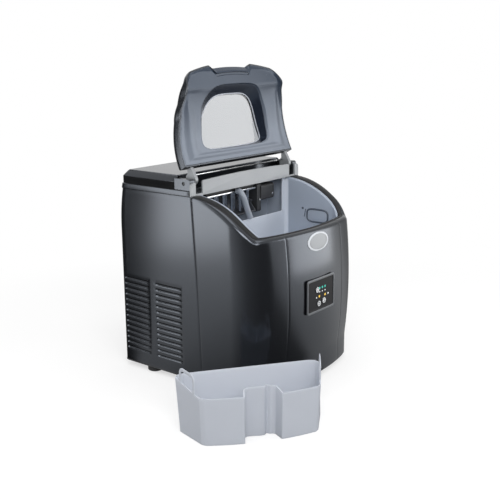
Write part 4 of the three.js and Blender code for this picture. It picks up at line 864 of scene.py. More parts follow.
u = stationRow((0, 1, 3), (1, 2, 12), (2, 3, 12), (3, 4, 6), (4, 5, 6), (5, 6, 12), (6, 7, 12), (7, 8, 3))
v = np.array([0, 0.5, 1, 2, 3, 4, 4.5, 5.0])
keep = cellsWithout(u, v, (0, 3, 3, None), (-3, None, 3, None))
addPiece("top_band", twoSkins(surroundShape, u, v, keep=keep), "black_housing", stands=("top_surround",),
         bevel=0.8, segments=3, angle=25)
addPiece("cove_shade_strip", twoSkins(coveShape, u[3:-3], np.array([0, 0.5, 1])), "cove_shade_black")
refineNode("deck_plate", "black_housing", 1.2, segments=3)
refineNode("rear_panel", "black_housing", flat=0)
for _, label in bothSides:
    refineNode("pivot_block_" + label, "black_housing", 0.8)
    refineNode("hinge_pin_" + label, "dark_metal", 0.4)
refineNode("hinge_cover", "silver_plastic", 0.9, segments=3)
refineNode("base_pan", "dark_metal", 0.4)
for spot in ("front_left", "front_right", "rear_left", "rear_right"):
    refineNode("foot_" + spot, "rubber", 0.7)

plug = {"x": -161.0, "y": 131.5,  # then the radius and height of each step, from the floor up
        "profile": [(14.5, 0.6), (16.5, 2.1), (16.5, 9.5), (15.0, 11.0), (9.0, 11.4), (9.0, 15.5)]}
points, faces = turnedProfile(plug["profile"], 36)
addPiece("drain_plug", (points + (plug["x"], plug["y"], 0), faces), "rubber", bevel=0.5)
print("top, hinge cover, pan and feet done")

# dark rim round the mouth
arc, corner = plan["arc"], plan["corner"]
rimStations = stationRow((-1, -corner, 16), (-corner, -arc, 26), (-arc, arc, 60), (arc, corner, 26), (corner, 1, 16))


def rimShape(s, v, w):
    # a crowned band between the housing's crease and the pale lip, falling along the mouth's arch
    x, y = planPoint(s, lerp(creaseInset(s) + body["gap"], rimInset(s), v), seam["topY"] - 3 * body["gap"])
    crown = band["crown"] * (1 - np.abs(2 * v - 1) ** 3)
    return x, y, rimZ(y) + (-band["height"] if w else crown)


across = np.array([0, 0.06, 0.16, 0.32, 0.5, 0.68, 0.84, 0.94, 1])
addPiece("mouth_rim", twoSkins(rimShape, rimStations, across), "black_trim", stands=("opening_rim",), bevel=0.5)

# ice chamber: drafted walls with a rounded lip, a floor, and a divider with an opening to the freezer; the floor,
# divider and corners take a paler copy of the liner grey as painted light
chamber = {"wall": 3.0, "floorZ": 196.0, "dividerY": 12.0, "dividerZ": 317.0, "post": 12.0, "fold": 3.0,
           "lipShare": 0.8, "cornerRadius": 8.5, "cornerDepth": 1.2, "cornerDrop": 0.4, "dividerDrop": 0.3}


def chamberWall(s, v, w):
    # upright to v = 1, a quarter turn outwards to v = 2, then the lip's flat to v = 3
    t, f = w * chamber["wall"], chamber["fold"]
    turn = quarter(v, 1)
    foldInset = wellInset(s) - f * (1 - np.cos(turn)) - t * np.cos(turn)
    inset = lerp(foldInset, rimInset(s) + body["gap"], np.clip(v - 2, 0, 1))
    x, y = planPoint(s, inset, chamber["dividerY"])
    top = rimZ(y) - lip["drop"]
    z = np.where(v <= 1, lerp(chamber["floorZ"], top - f, np.clip(v, 0, 1)), top - f + f * np.sin(turn))
    return x, y, z - np.where(v > 1, t * np.sin(turn) * chamber["lipShare"], 0)


def dividerShape(x, z, w):
    # upright sheet across the chamber
    return x, np.full_like(x, chamber["dividerY"] - w * chamber["wall"]), z


def cornerShape(a, v, w):
    # hollow quarter round between the divider and a side wall, its back just inside both
    r = chamber["cornerRadius"]
    grown = r + chamber["cornerDepth"] * w
    x = wellHalf - r + grown * np.cos(a)
    y = chamber["dividerY"] - chamber["wall"] - r + grown * np.sin(a)
    top = seam["topZ"] - lip["drop"] - chamber["fold"] - chamber["cornerDrop"]
    return x, y, lerp(chamber["floorZ"] + chamber["wall"], top, v)


wallRows = np.concatenate([np.linspace(0, 1, 9), np.linspace(1, 2, 6)[1:], [2.5, 3.0]])
floorX, floorY = planPoint(rimStations, wellInset(rimStations) - chamber["wall"] / 2, chamber["dividerY"])
floorSlab = flatSlab(np.column_stack([floorX, floorY]), chamber["floorZ"], chamber["floorZ"] + chamber["wall"])
half = wellHalf - chamber["post"]
xs = np.concatenate([[-wellHalf - 1], np.linspace(-half, half, 12), [wellHalf + 1]])
zs = np.concatenate([np.linspace(chamber["floorZ"], chamber["dividerZ"], 7),
                     [seam["topZ"] - lip["drop"] - chamber["dividerDrop"]]])
keep = cellsWithout(xs, zs, (1, -1, -1, None))
addPiece("chamber_tub", twoSkins(chamberWall, rimStations, wallRows), "liner_grey", stands=("bin_liner",), angle=50)
# floor, divider and corners in the paler grey: painted light, with a painted highlight down each rounded corner
addPiece("chamber_floor", floorSlab, "liner_lit_grey", bevel=1.0)
addPiece("chamber_divider", twoSkins(dividerShape, xs, zs, keep=keep), "liner_lit_grey", bevel=1.3, segments=3)
for side, label in bothSides:
    points, faces = twoSkins(cornerShape, np.linspace(0, np.pi / 2, 13), np.linspace(0, 1, 5))
    addPiece("chamber_corner_" + label, (points * (side, 1, 1), faces), "liner_lit_grey", angle=60)
refineNode("freezer_housing", "liner_grey", 0.6)
refineNode("tray_motor", "motor_dark", 1.2, segments=3)
refineNode("tray_bearing", "motor_dark", 0.8)
refineNode("water_tray", "tray_grey", body="water_tray")
refineNode("water_tank", "liner_grey", 1.0)
print("rim and chamber done")

# evaporator: a flat header with two rows of plated fingers, each a turned profile, and a black slab over the header
# as painted shade
fingers = {"x0": -118.0, "x1": 42.0, "y": 34.0, "z": 379.0, "inset": 14.0, "rowPitch": 16.0, "count": 6,
           "radius": 3.6, "length": 47.0, "header": 4.2, "headerFront": 12.0, "shadeSlabTop": 10.0, "shadeSlabInset": 3.0,
           "wallY": 61.2}


def fingerSet():
    # a rounded tip, a straight shank and a collar, once for each place
    f = fingers
    r, n = f["radius"], f["length"]
    profile = [(0.4, -n), (r * 0.45, 0.35 - n), (r * 0.75, 1.2 - n), (r * 0.95, 2.8 - n), (r, 5 - n), (r, -6),
               (r * 1.12, -4), (r * 1.12, 0.5)]
    one, faces = turnedProfile(profile, 20)
    xs = np.linspace(f["x0"] + f["inset"], f["x1"] - f["inset"], f["count"])
    places = [(x, f["y"] + k * f["rowPitch"] / 2, f["z"]) for x in xs for k in (-1, 1)]
    return joinMeshes(*[(one + np.array(p), faces) for p in places])


def slab(inset, z0, z1):
    # a plate over the fingers, back to the freezer's wall
    f = fingers
    x0, x1 = f["x0"] + inset, f["x1"] - inset
    y0 = f["y"] - f["rowPitch"] / 2 - f["headerFront"] + inset
    return flatSlab([(x0, y0), (x1, y0), (x1, f["wallY"]), (x0, f["wallY"])], f["z"] + z0, f["z"] + z1)


addPiece("evaporator_header", slab(0.0, 0.0, fingers["header"]), "finger_steel", stands=("evaporator",), bevel=1.2,
         segments=3)
# black slab on the header: painted shade above the header, where the freezer is in shadow
addPiece("evaporator_shade_slab", slab(fingers["shadeSlabInset"], fingers["header"], fingers["shadeSlabTop"]), "black_trim", bevel=1.0)
addPiece("evaporator_fingers", fingerSet(), "finger_steel", angle=60)

# water hose: a ribbed tube on its curve
hose = {"path": [(-20, 13.7, 382), (-20, 7, 382), (-17, -1, 370), (-10, -1.5, 352), (-2, -0.5, 337), (6, 0, 323)],
        "radius": 6.4, "rib": 0.55, "ribs": 26, "stepsPerRib": 8}
hosePath = smoothPath(hose["path"], hose["ribs"] * hose["stepsPerRib"])
ribs = np.cos(np.linspace(0, hose["ribs"] * 2 * np.pi, len(hosePath)))
ribWave = hose["radius"] - hose["rib"] * (0.5 - 0.5 * ribs)
section = circleSection(1.0, 24)[None] * ribWave[:, None, None]
addPiece("fill_hose", sweptTube(hosePath, section), "hose_grey", stands=("water_hose",), angle=70)
print("freezing parts done")

# lid, drawn closed and then opened: outline, surfaces and window
lid = {"rearY": -4.0, "rise": 27.5, "wall": 3.0, "fillet": 14.0, "crown": 1.0, "edgeGap": 2.4, "overhang": 13.0,
       "turnIn": (0.47, 0.64), "frontShare": 0.75, "blend": 5.0, "notchHalf": 57.0, "notchBack": 18.0,
       "linerRise": 3.0, "linerGroove": 4.0, "linerWall": 2.2, "rearTurn": 0.1, "loop": 240}
window = {"y": -56.0, "power": 4.0, "pane": 2.5, "lap": 5.0,
          "halfWidth": (100.0, 106.0), "front": (79.5, 88.0), "rear": (20.0, 27.0), "taper": (0.22, 0.1)}


def lidSurface(y, rise):
    # the larger of the mouth's arch grown by a rise and a flat front, blended where they meet
    curved, flat = archHeight(y, rise), mouth["frontZ"] + rise * lid["frontShare"]
    share = np.clip(0.5 + (curved - flat) / (2 * lid["blend"]), 0, 1)
    return lerp(flat, curved, share) + lid["blend"] * share * (1 - share)


def crownZ(x, y, rise):
    # a little higher along the centre line
    return lidSurface(y, rise) + lid["crown"] * (1 - (x / body["halfWidth"]) ** 2)


def lidInset(s):
    # the lid overhangs the front and draws in to the rim's crease at the sides
    return lerp(-lid["overhang"], creaseInset(s, shoulder["lidCorner"]), smoothStep(np.abs(s), *lid["turnIn"]))


def notchAt(s):
    # finger notch in the middle of the front edge
    start, end = stationAt(lid["notchHalf"] - 6), stationAt(lid["notchHalf"] + 8)
    return lid["notchBack"] * (1 - smoothStep(np.abs(s), start, end))


def lidStation(u):
    # plan station at a share of the closed outline, held at the ends along the rear edge
    t = lid["rearTurn"]
    return np.clip(lerp(1.0, -1.0, (u - t) / (1 - 2 * t)), -1, 1)


def lidOutline(u, inset, rearInset):
    # closed outline: the rear edge from its middle, then the plan of the mouth, then back to the middle
    x, y = planPoint(lidStation(u), inset, lid["rearY"] - rearInset)
    return x * np.minimum(np.minimum(u, 1 - u) / lid["rearTurn"], 1), y


def windowPoint(angle, share, grow=0.0):
    # superellipse about the window's middle that narrows towards the front: 0 the glass, 1 the opening
    width, front, rear, taper = (lerp(*window[key], share) for key in ("halfWidth", "front", "rear", "taper"))
    ahead, power = np.sin(angle) < 0, window["power"]
    a, b = width + grow, np.where(ahead, front, rear) + grow
    r = (np.abs(np.cos(angle) / a) ** power + np.abs(np.sin(angle) / b) ** power) ** (-1 / power)
    x, y = r * np.cos(angle), r * np.sin(angle)
    return x * (1 - np.where(ahead, -y / b * taper, 0)), window["y"] + y


def windowAngle(x, y):
    # bearing from the window's middle
    return np.arctan2(y - window["y"], x)


def shellShape(u, v, w):
    # upright edge to v = 1, rounded shoulder to v = 2, crowned top to the window's hole at v = 3
    t, f, s = w * lid["wall"], lid["fillet"], lidStation(u)
    rise = lid["rise"] - t
    turn = quarter(v, 1)
    scoop = lerp(1.0, 0.4, np.clip(v, 0, 1)) * np.cos(turn)  # the notch is shallower higher up
    inset = t + (f - t) * (1 - np.cos(turn))
    x, y = lidOutline(u, lidInset(s) + inset + scoop * notchAt(s), inset)
    low = lidSurface(y, lid["edgeGap"])
    foot = np.maximum(crownZ(x, y, rise) - f + t, low + 1)
    arc = crownZ(x, y, rise) - (f - t) * (1 - np.sin(turn))
    z = np.where(v <= 1, lerp(low, foot, np.clip(v, 0, 1)), np.maximum(arc, low + 1))
    share = np.clip(v - 2, 0, 1)
    wx, wy = windowPoint(windowAngle(x, y), 0)
    px, py = lerp(x, wx, share), lerp(y, wy, share)
    return px, py, np.where(v > 2, crownZ(px, py, rise), z)


loopU = np.arange(lid["loop"]) / lid["loop"]
shellRows = stationRow((0, 1, 4), (1, 2, 9), (2, 3, 8))
addPiece("lid_cover", twoSkins(shellShape, loopU, shellRows, closed=True), "black_lid", body="lid",
         stands=("lid_shell",), bevel=0.8, segments=3, angle=40)

# liner: bead at the outer edge, a shallow valley, a soft roll round the window and a rounded lip into the sleeve
liner = {"bead": 0.55, "beadAt": (0.12, 0.1), "roll": 0.9, "rollAt": (2.72, 0.2), "valleyEase": 0.55,
         "lipRadius": 3.0, "crease": 1.1, "creaseWidth": 5.0, "notchStep": 1.6, "groove": 5.0, "flangeShare": 0.42,
         "flangeRear": 9.0, "rearRow": 17.0, "lean": 8.0, "leanFront": -172.0, "leanBack": 60.0}


def leanAt(y):
    # the front strip leans in from the edge to its crease and eases out again behind it
    rise = np.clip((y - liner["leanFront"]) / (creaseY - liner["leanFront"]), 0, 1)
    return liner["lean"] * rise * (1 - smoothStep(y, creaseY, creaseY + liner["leanBack"]))


def linerBase(y):
    # underside of the lid with the lean
    return lidSurface(y, lid["linerRise"]) + leanAt(y)


def linerShape(u, v, w):
    # v = 0 the outer edge, 1 the flange's end, 2 the valley, 3 the opening; heights ease between them
    s, c, side = lidStation(u), liner, lid["wall"] + body["gap"]
    notch, groove = notchAt(s), wellInset(s) + c["groove"]
    edge = lidInset(s) + side + notch
    insets = (edge, side), (lerp(edge, groove, c["flangeShare"]), c["flangeRear"]), (groove, c["rearRow"])
    outlines = [lidOutline(u, inset, rear) for inset, rear in insets]
    inWell = smoothStep(outlines[2][1], creaseY + 2, creaseY + 40)  # the front strip has no valley or roll
    outlines.append(windowPoint(windowAngle(*outlines[2]), 1))
    k = np.clip(np.floor(v), 0, 2).astype(int)
    x, y = (lerp(np.take_along_axis(a, k[None], 0)[0], np.take_along_axis(a, k[None] + 1, 0)[0], v - k)
            for a in (np.stack(rows) for rows in zip(*outlines)))
    valley = lid["linerGroove"] * inWell * (smoothStep(v, 0.9, 1.9) - c["valleyEase"] * smoothStep(v, 2.0, 2.7))
    roll = c["roll"] * hump(v, *c["rollAt"]) * inWell
    fold = c["crease"] * hump(y, creaseY + 4, c["creaseWidth"]) * smoothStep(v, 0.15, 0.5)
    fold = fold * (1 - smoothStep(v, 1.8, 2.6))
    step = c["notchStep"] * (notch / lid["notchBack"]) * (1 - smoothStep(v, 0.45, 0.62))
    lipTurn = c["lipRadius"] * smoothStep(v, 2.88, 3.0)
    flush = leanAt(y) * (1 - smoothStep(v, 0, 0.45))  # the outer edge stays against the cover
    z = linerBase(y) - flush - valley - roll + c["bead"] * hump(v, *c["beadAt"]) + lipTurn + fold + step
    return x, y, z + w * lid["linerWall"]


sleeve = {"ledge": 2.2, "ledgeEnd": 0.14, "straight": 0.12, "wall": 2.0}
apron = {"inside": 0.3, "thick": 0.6, "tuck": 0.8}
seal = {"inset": 1.4, "under": 1.6, "radius": 1.3}


def sleeveShape(u, v, w):
    # from the pane down to the liner's opening, with a ledge under the pane
    angle = windowAngle(*lidOutline(u, wellInset(lidStation(u)) + liner["groove"], liner["rearRow"]))
    top = lid["rise"] - lid["wall"] - window["pane"] - 3 * body["gap"]
    ledge = sleeve["ledge"] * (1 - smoothStep(v, 0.0, sleeve["ledgeEnd"]))
    share = np.clip((v - sleeve["straight"]) / (1 - sleeve["straight"]), 0, 1)
    x, y = windowPoint(angle, share, w * sleeve["wall"] - ledge * (1 - w))
    return x, y, lerp(crownZ(x, y, top), linerBase(y) + lid["linerWall"] + 3 * body["gap"], v)


linerRows = stationRow((0, 0.4, 8), (0.4, 1, 8), (1, 2, 12), (2, 2.8, 10), (2.8, 3, 7))
sleeveRows = np.concatenate([[0, 0.06, 0.1, 0.14], np.linspace(0.14, 1, 10)[1:]])
addPiece("lid_inner_moulding", twoSkins(linerShape, loopU, linerRows, closed=True), "lid_grey", body="lid",
         stands=("lid_liner",), bevel=0.5, angle=50)
addPiece("window_sleeve", twoSkins(sleeveShape, loopU, sleeveRows, closed=True), "sleeve_dark", body="lid",
         stands=("window_bezel",), angle=40)


def sealCord():
    # pale cord of round section in the sleeve, just under the pane's edge
    x, y = windowPoint(fullTurn(160), 0, -seal["inset"])
    z = crownZ(x, y, lid["rise"] - lid["wall"] - window["pane"] - seal["under"])
    return sweptTube(np.column_stack([x, y, z]), circleSection(seal["radius"], 10), closedPath=True)


def apronShape(s, v, w):
    # grey skin over the finger notch's edge, a hair outside the lid's own wall
    x, y, z = shellShape(lid["rearTurn"] + (1 - s) / 2 * (1 - 2 * lid["rearTurn"]), np.maximum(v, 0), 0)
    out, turn = apron["inside"] + apron["thick"] * (1 - w), quarter(v, 1)
    under = smoothStep(-v, 0, 0.3)  # below v = 0 the skin wraps under the wall's edge
    y = y - out * np.cos(turn) * (1 - under) + np.maximum(-v, 0) * (lid["wall"] + apron["tuck"])
    return x, y, z + out * np.sin(turn) - out * under


def paneDisc():
    # rings of points from the middle out, on top and below, following the lid's crown
    n, rings = 120, np.linspace(0, 1, 13)[1:]
    ox, oy = windowPoint(fullTurn(n), 0, window["lap"])
    x = np.concatenate([[0.0], (ox[None] * rings[:, None]).ravel()])
    y = np.concatenate([[window["y"]], lerp(window["y"], oy[None], rings[:, None]).ravel()])
    skins = [np.column_stack([x, y, crownZ(x, y, lid["rise"] - lid["wall"] - body["gap"] - drop)])
             for drop in (0.0, window["pane"])]
    m, last = 1 + n * len(rings), 1 + (len(rings) - 1) * n
    i = np.arange(n)
    a, b = gridIndex(len(rings) - 1, n)
    c, j = (b + 1) % n, (i + 1) % n
    fan = np.stack([np.zeros(n, int), 1 + i, 1 + j], 1)
    quads = 1 + np.stack([a * n + b, (a + 1) * n + b, (a + 1) * n + c, a * n + c], 1)
    edge = np.stack([last + j, last + i, m + last + i, m + last + j], 1)[:, ::-1]
    faces = [fan, quads, m + fan[:, ::-1], m + quads[:, ::-1], edge]
    return np.concatenate(skins), [face for part in faces for face in part.tolist()]


addPiece("window_seal", sealCord(), "basket_grey", body="lid", angle=70)
notchEnd = stationAt(lid["notchHalf"] + 1)
apronRows = np.concatenate([[-1, -0.6, -0.3, -0.12], np.linspace(0, 1.5, 12)])
addPiece("lid_notch_apron", twoSkins(apronShape, np.linspace(-notchEnd, notchEnd, 41), apronRows), "lid_grey",
         body="lid", angle=60)
addPiece("window_pane", paneDisc(), "window_clear", body="lid", stands=("lid_window",), angle=40)
for _, label in bothSides:
    refineNode("hinge_arm_" + label, "silver_plastic", 1.0, "lid", segments=3)
refineNode("hinge_rod", "steel", 0.0, "lid", angle=60)
print("lid done")

# control panel on the front: black window, three buttons with their marks, print, lamps and bezel
panel = {
    "caps": {"power_button": (-14, 12), "select_button": (-8, -18), "clean_button": (10, -15)},
    "ring": (4.7, 1.3), "raise": 0.12, "sink": 0.05,
    "lamps": {"green": ([(-4.4, 13.6), (5.2, 13.4), (14.8, 13.6)], "lampGreen"),
              "amber": ([(-5.5, -3.6), (15.0, -4.0)], "lampAmber")}, "lampRadius": 2.5,
    "dots": [(-4.4, 5.6, 1.5), (5.2, 5.6, 1.5), (14.8, 5.6, 1.5), (26.0, -4.0, 2.0), (-15.5, -4.4, 1.6)],
    # width, height and corner radius of each rounded loop
    "bezel": ((98.0, 72.0, 5.5), (88.6, 62.6, 3.5)), "border": ((88.8, 62.8, 3.6), (82.2, 58.2, 3.6)),
    "bezelStand": 1.0, "borderBack": 7.8, "cornerSteps": 8,
}


def frontOf(node):
    # y of a node's front face in machine millimetres
    return (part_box(node)[0].y - origin[1]) / mm


def ringOutline(radius, width, a0, a1, count=40):
    # an open band of a circle as one strip of quads
    a, i = np.radians(np.linspace(a0, a1, count + 1)), np.arange(count)
    circle = np.column_stack([np.cos(a), np.sin(a)])
    points = np.concatenate([circle * (radius - width / 2), circle * (radius + width / 2)])
    return points, np.stack([i, i + 1, i + count + 2, i + count + 1], 1)


def bar(x0, z0, x1, z1, width):
    # a straight stroke between two points
    d = np.array([x1 - x0, z1 - z0], float)
    d /= np.hypot(*d)
    across = np.array([-d[1], d[0]]) * width / 2
    a, b = np.array([x0, z0]), np.array([x1, z1])
    return np.array([a - across, b - across, b + across, a + across]), np.array([[0, 1, 2, 3]])


def dot(x, z, radius, sides=16):
    # a disc as one face
    return np.array([x, z]) + circleSection(radius, sides), np.arange(sides)[None]


def printShape(parts, middle, y, thick=panel["raise"]):
    # flat marks (points, faces) raised by a hair from the front face at y; edges used once get a wall
    shapes = []
    for p, quads in parts:
        n, q = len(p), np.asarray(quads)
        x, z = middle[0] + p[:, 0], centre["controlZ"] + middle[1] + p[:, 1]
        front, back = (np.column_stack([x, np.full(n, depth), z]) for depth in (y - thick, y + panel["sink"]))
        edges = np.concatenate([q[:, [k, (k + 1) % q.shape[1]]] for k in range(q.shape[1])])
        unique, counts = np.unique(np.sort(edges, axis=1), axis=0, return_counts=True)
        single = edges[[counts[(unique == np.sort(e)).all(1)][0] == 1 for e in edges]]
        wall = np.stack([single[:, 0], single[:, 1], single[:, 1] + n, single[:, 0] + n], 1)[:, ::-1]
        shapes.append((np.concatenate([front, back]), q.tolist() + (q[:, ::-1] + n).tolist() + wall.tolist()))
    return joinMeshes(*shapes)


def roundedFrame(width, height, radius):
    # upright rectangle with rounded corners, counted round from the right
    cx, cz = width / 2 - radius, height / 2 - radius
    corners = []
    for index, (sx, sz) in enumerate(((1, 1), (-1, 1), (-1, -1), (1, -1))):
        turn = np.linspace(0, np.pi / 2, panel["cornerSteps"] + 1) + index * np.pi / 2
        corners.append(np.column_stack([sx * cx + radius * np.cos(turn), sz * cz + radius * np.sin(turn)]))
    return np.concatenate(corners)


def frameShape(outer, inner, front, back):
    # band between two rounded loops, from front to back
    loops = np.concatenate([roundedFrame(*inner), roundedFrame(*outer)])
    n = len(loops) // 2
    i, j, y = np.arange(n), (np.arange(n) + 1) % n, back - panel["sink"]
    return printShape([(loops, np.stack([i, j, j + n, i + n], 1))], (0, 0), y, y - front)


marks = {"power_button": [ringOutline(2.2, 1.3, 125, 415), bar(0, 0.2, 0, 3.4, 1.3)],
         "select_button": [bar(-2.8, 0, 2.2, 0, 1.4), bar(0.2, 2.0, 2.5, 0, 1.3), bar(0.2, -2.0, 2.5, 0, 1.3)],
         "clean_button": [ringOutline(2.1, 1.3, 20, 320), bar(1.3, 0.3, 3.5, 0.8, 1.2),
                          bar(1.5, 2.6, 2.4, 0.7, 1.2)]}
panelFace = frontOf("control_window")
refineNode("control_window", "control_glass", 0.4)
refineNode("control_board", "board_green", 0.2)
for name in panel["caps"]:
    refineNode(name, "button", 0.3, name, angle=40)
for name, middle in panel["caps"].items():
    ring = [ringOutline(*panel["ring"], 0, 360, 48)]
    addPiece(name + "_mark", printShape(marks[name], middle, frontOf(name)), "white_print", name)
    addPiece(name + "_ring", printShape(ring, middle, frontOf(name) + 0.02), "white_print", name)
for label, (spots, finish) in panel["lamps"].items():
    discs = [dot(x, z, panel["lampRadius"]) for x, z in spots]
    addPiece("lamps_" + label, printShape(discs, (0, 0), panelFace), finish)
addPiece("panel_print", printShape([dot(*spot) for spot in panel["dots"]], (0, 0), panelFace), "white_print")
panelCentre = frontCentreY - body["frontRadius"] - body["bulge"]  # the panel's foremost line
bezelRim = frameShape(*panel["bezel"], panelFace - panel["bezelStand"], panelCentre)
border = frameShape(*panel["border"], panelFace + panel["sink"], panelCentre + panel["borderBack"])
addPiece("bezel_rim", bezelRim, "bezel", stands=("control_bezel",), bevel=1.0, segments=3)
addPiece("window_border", border, "control_glass", bevel=0.2)
print("control panel done")

# plain oval plate above the controls: a domed rim with a flat field, nothing on it
plate = {"z": 297.0, "half": (36.0, 18.5), "thick": 1.5, "fall": 0.35, "field": 0.84, "fieldStand": 0.35}


def plateShape(share, stand):
    # square grid pressed into an oval, laid on the panel's curve and lightly domed
    def shape(p, q, w):
        a, b = plate["half"]
        x, h = a * share * p * np.sqrt(1 - q * q / 2), b * share * q * np.sqrt(1 - p * p / 2)
        z = plate["z"] + h
        y = frontCentreY - np.sqrt(body["frontRadius"] ** 2 - x ** 2)
        dome = plate["thick"] * (1 - plate["fall"] * np.clip((x / a) ** 2 + (h / b) ** 2, 0, 1) ** 2) + stand
        return x, y - bulgeAt(y, z) - np.where(w == 1, dome, -0.5), z
    grid = np.linspace(-1, 1, 33)
    return twoSkins(shape, grid, grid)


addPiece("oval_plate", plateShape(1.0, 0.0), "white_plastic", bevel=0.4, angle=50)
addPiece("oval_plate_field", plateShape(plate["field"], plate["fieldStand"]), "silver_plastic", bevel=0.2, angle=50)

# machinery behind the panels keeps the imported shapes, merged and rounded
for node, finish, size in (("compressor", "dark_metal", 0.0), ("condenser", "fin_metal", 0.0),
                           ("fan_shroud", "motor_dark", 0.8), ("fan_motor", "motor_dark", 0.4),
                           ("water_pump", "motor_dark", 0.8), ("power_inlet", "motor_dark", 0.6)):
    refineNode(node, finish, size)
refineNode("fan_blades", "white_plastic", body="fan")
print("machinery done")

# ice sensor on the right wall of the chamber: a window ringed by a dark tube that paints the shade of its recess, and
# a screw hole and a slit drawn as dark marks of painted shade
sensor = {"y": -78.0, "z": 313.0, "half": (27.0, 14.0), "power": 4.0, "frame": 2.1, "windowShare": 0.97,
          "windowDepth": 1.1, "markDepth": 0.7, "inWall": 0.3, "hole": (-39.0, 326.6, 2.8),
          "slit": (-47.0, 325.6, -43.0, 307.6, 1.8)}


def sensorLoop(share):
    # superellipse on the wall, share of its full size
    c, n, power = np.cos(fullTurn(96)), np.sin(fullTurn(96)), sensor["power"]
    r = share / (np.abs(c) ** power + np.abs(n) ** power) ** (1 / power)
    return np.column_stack([sensor["y"] + sensor["half"][0] * r * c, sensor["z"] + sensor["half"][1] * r * n])


def wallSlab(outline, depth):
    # an outline (y, z) on the right wall made solid towards the middle of the chamber
    p, faces = flatSlab(outline, 0.0, depth)
    return np.column_stack([wellHalf + sensor["inWall"] - p[:, 2], p[:, 0], p[:, 1]]), faces


recessShadeLine = np.insert(sensorLoop(1.0), 0, wellHalf, axis=1)
recessShadeTube = sweptTube(recessShadeLine, circleSection(sensor["frame"], 12), closedPath=True, guide=(1, 0, 0))
sensorPane = wallSlab(sensorLoop(sensor["windowShare"]), sensor["windowDepth"])
holeShadeMarks = [wallSlab(p, sensor["markDepth"]) for p, _ in (dot(*sensor["hole"], 24), bar(*sensor["slit"]))]
# the recess round the window and the insides of the hole and slit are painted shade in a dark grey
addPiece("sensor_recess_shade", recessShadeTube, "recess_shade_grey", angle=70)
addPiece("sensor_window", sensorPane, "liner_grey", stands=("sensor_cover",), bevel=0.4)
addPiece("sensor_hole_shade", joinMeshes(*holeShadeMarks), "recess_shade_grey")

# two pan-head screws on the tray drive: radius, place from its ends and from its mid height
screws = ((2.6, -6, 4), (2.2, 7, -4))
screwHeights = ((1, 0), (1, 0.7), (0.75, 1.4), (0.3, 1.6))  # share of the radius, height of the domed head
screwTip, screwSunk = (0.2, 1.62), 0.1
driveEnds = [(np.array(p) - origin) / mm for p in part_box("tray_motor")]


def screwHead(radius, x, z):
    # pan head turned about the front-facing axis
    p, faces = turnedProfile([*((radius * share, height) for share, height in screwHeights), screwTip], 20)
    x = x + driveEnds[1 if x < 0 else 0][0]
    z = z + (driveEnds[0][2] + driveEnds[1][2]) / 2
    return np.column_stack([p[:, 0] + x, driveEnds[0][1] - p[:, 2] + screwSunk, p[:, 1] + z]), faces


addPiece("drive_screws", joinMeshes(*[screwHead(*s) for s in screws]), "steel", angle=50)
print("sensor and drive details done")

# ice basket: a drafted loop wall with a notched front, a floor, and two loop handles
basket = {"height": 98.0, "wall": 2.2, "rearHalf": 138.5, "frontHalf": 111.0, "depth": 103.0, "bow": 13.0,
          "chamfer": 16.0, "notchHalf": 34.5, "notchBack": 25.0, "notchDepth": 25.0, "notchRise": 6.0,
          "frontDrop": 10.0, "ridge": 3.5, "groove": 5.0, "draft": 3.0, "rearDraft": 24.0, "frontDraft": 2.0,
          "turn": -36.3, "x": -224.0, "y": -172.3, "round": 2.4, "roundSteps": 5,
          "floorStand": 0.3, "floorShare": 0.3}  # the floor above the wall's thickness, its reach into the wall
handle = {"length": 56.0, "height": 26.0, "bar": 6.2, "radius": 10.0, "foot": (-14.0, -6.0, 2.0, 10.0)}


def standBasket(points):
    # turned about the basket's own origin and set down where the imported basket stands
    p = np.array(points, float)
    x, y = turned(p[:, 0], p[:, 1], np.radians(basket["turn"]))
    return np.column_stack([x + basket["x"], y + basket["y"], p[:, 2]])


restPlace["ice_basket"] = standBasket


def basketLoop():
    # half outline from the rear centre to the notch: x, y and height above the rim; mirrored for the other half
    b = basket
    back = -b["depth"] - b["bow"] + b["notchDepth"]
    low, high = -b["frontDrop"], b["notchRise"] - b["frontDrop"]
    front = lerp(b["frontHalf"] - 6, b["notchHalf"], np.arange(0, 5) / 4)
    fullBow = b["bow"] / (1 - (b["notchHalf"] / b["frontHalf"]) ** 2)
    bowed = -b["depth"] - fullBow * (1 - (front / b["frontHalf"]) ** 2)

    def halfRow(groove):  # only one side of the notch has a groove
        return np.array([
            (0, 0, 0), (b["rearHalf"] - b["chamfer"], 0, 0), (b["rearHalf"] - 5, -5, 0),
            (b["rearHalf"], -b["chamfer"], -0.5), (b["frontHalf"] + 1, -b["depth"] + 6, low),
            *[(x, y, low) for x, y in zip(front, bowed)],
            (b["notchBack"] + 4, back - 2, high - 1), (b["notchBack"] - 1, back + 1, high - 0.5),
            (19.0, back + 1, high), (14.5, back + 1 + groove, high),
            (9.0, back + 0.5 - groove * 0.3, high + 0.5), (0, back - b["ridge"] + 2, high + 1)], float)
    return np.concatenate([halfRow(b["groove"]), halfRow(0.0)[1:-1][::-1] * (-1, 1, 1)])


def roundedLoop(corners, radius, steps):
    # every corner cut back along both its sides and bridged by a quadratic curve
    p = np.asarray(corners, float)
    before, after = np.roll(p, 1, 0) - p, np.roll(p, -1, 0) - p
    lengths = [np.linalg.norm(d[:, :2], axis=1, keepdims=True) for d in (before, after)]
    a, b = (p + d / l * np.minimum(radius, l * 0.42) for d, l in zip((before, after), lengths))
    t = np.linspace(0, 1, steps)[None, :, None]
    return ((1 - t) ** 2 * a[:, None] + 2 * t * (1 - t) * p[:, None] + t * t * b[:, None]).reshape(-1, 3)


loop = roundedLoop(basketLoop(), basket["round"], basket["roundSteps"])
nextX, nextY = np.roll(loop[:, :2], -1, 0).T
inward = -1.0 if np.sum(loop[:, 0] * nextY - nextX * loop[:, 1]) > 0 else 1.0


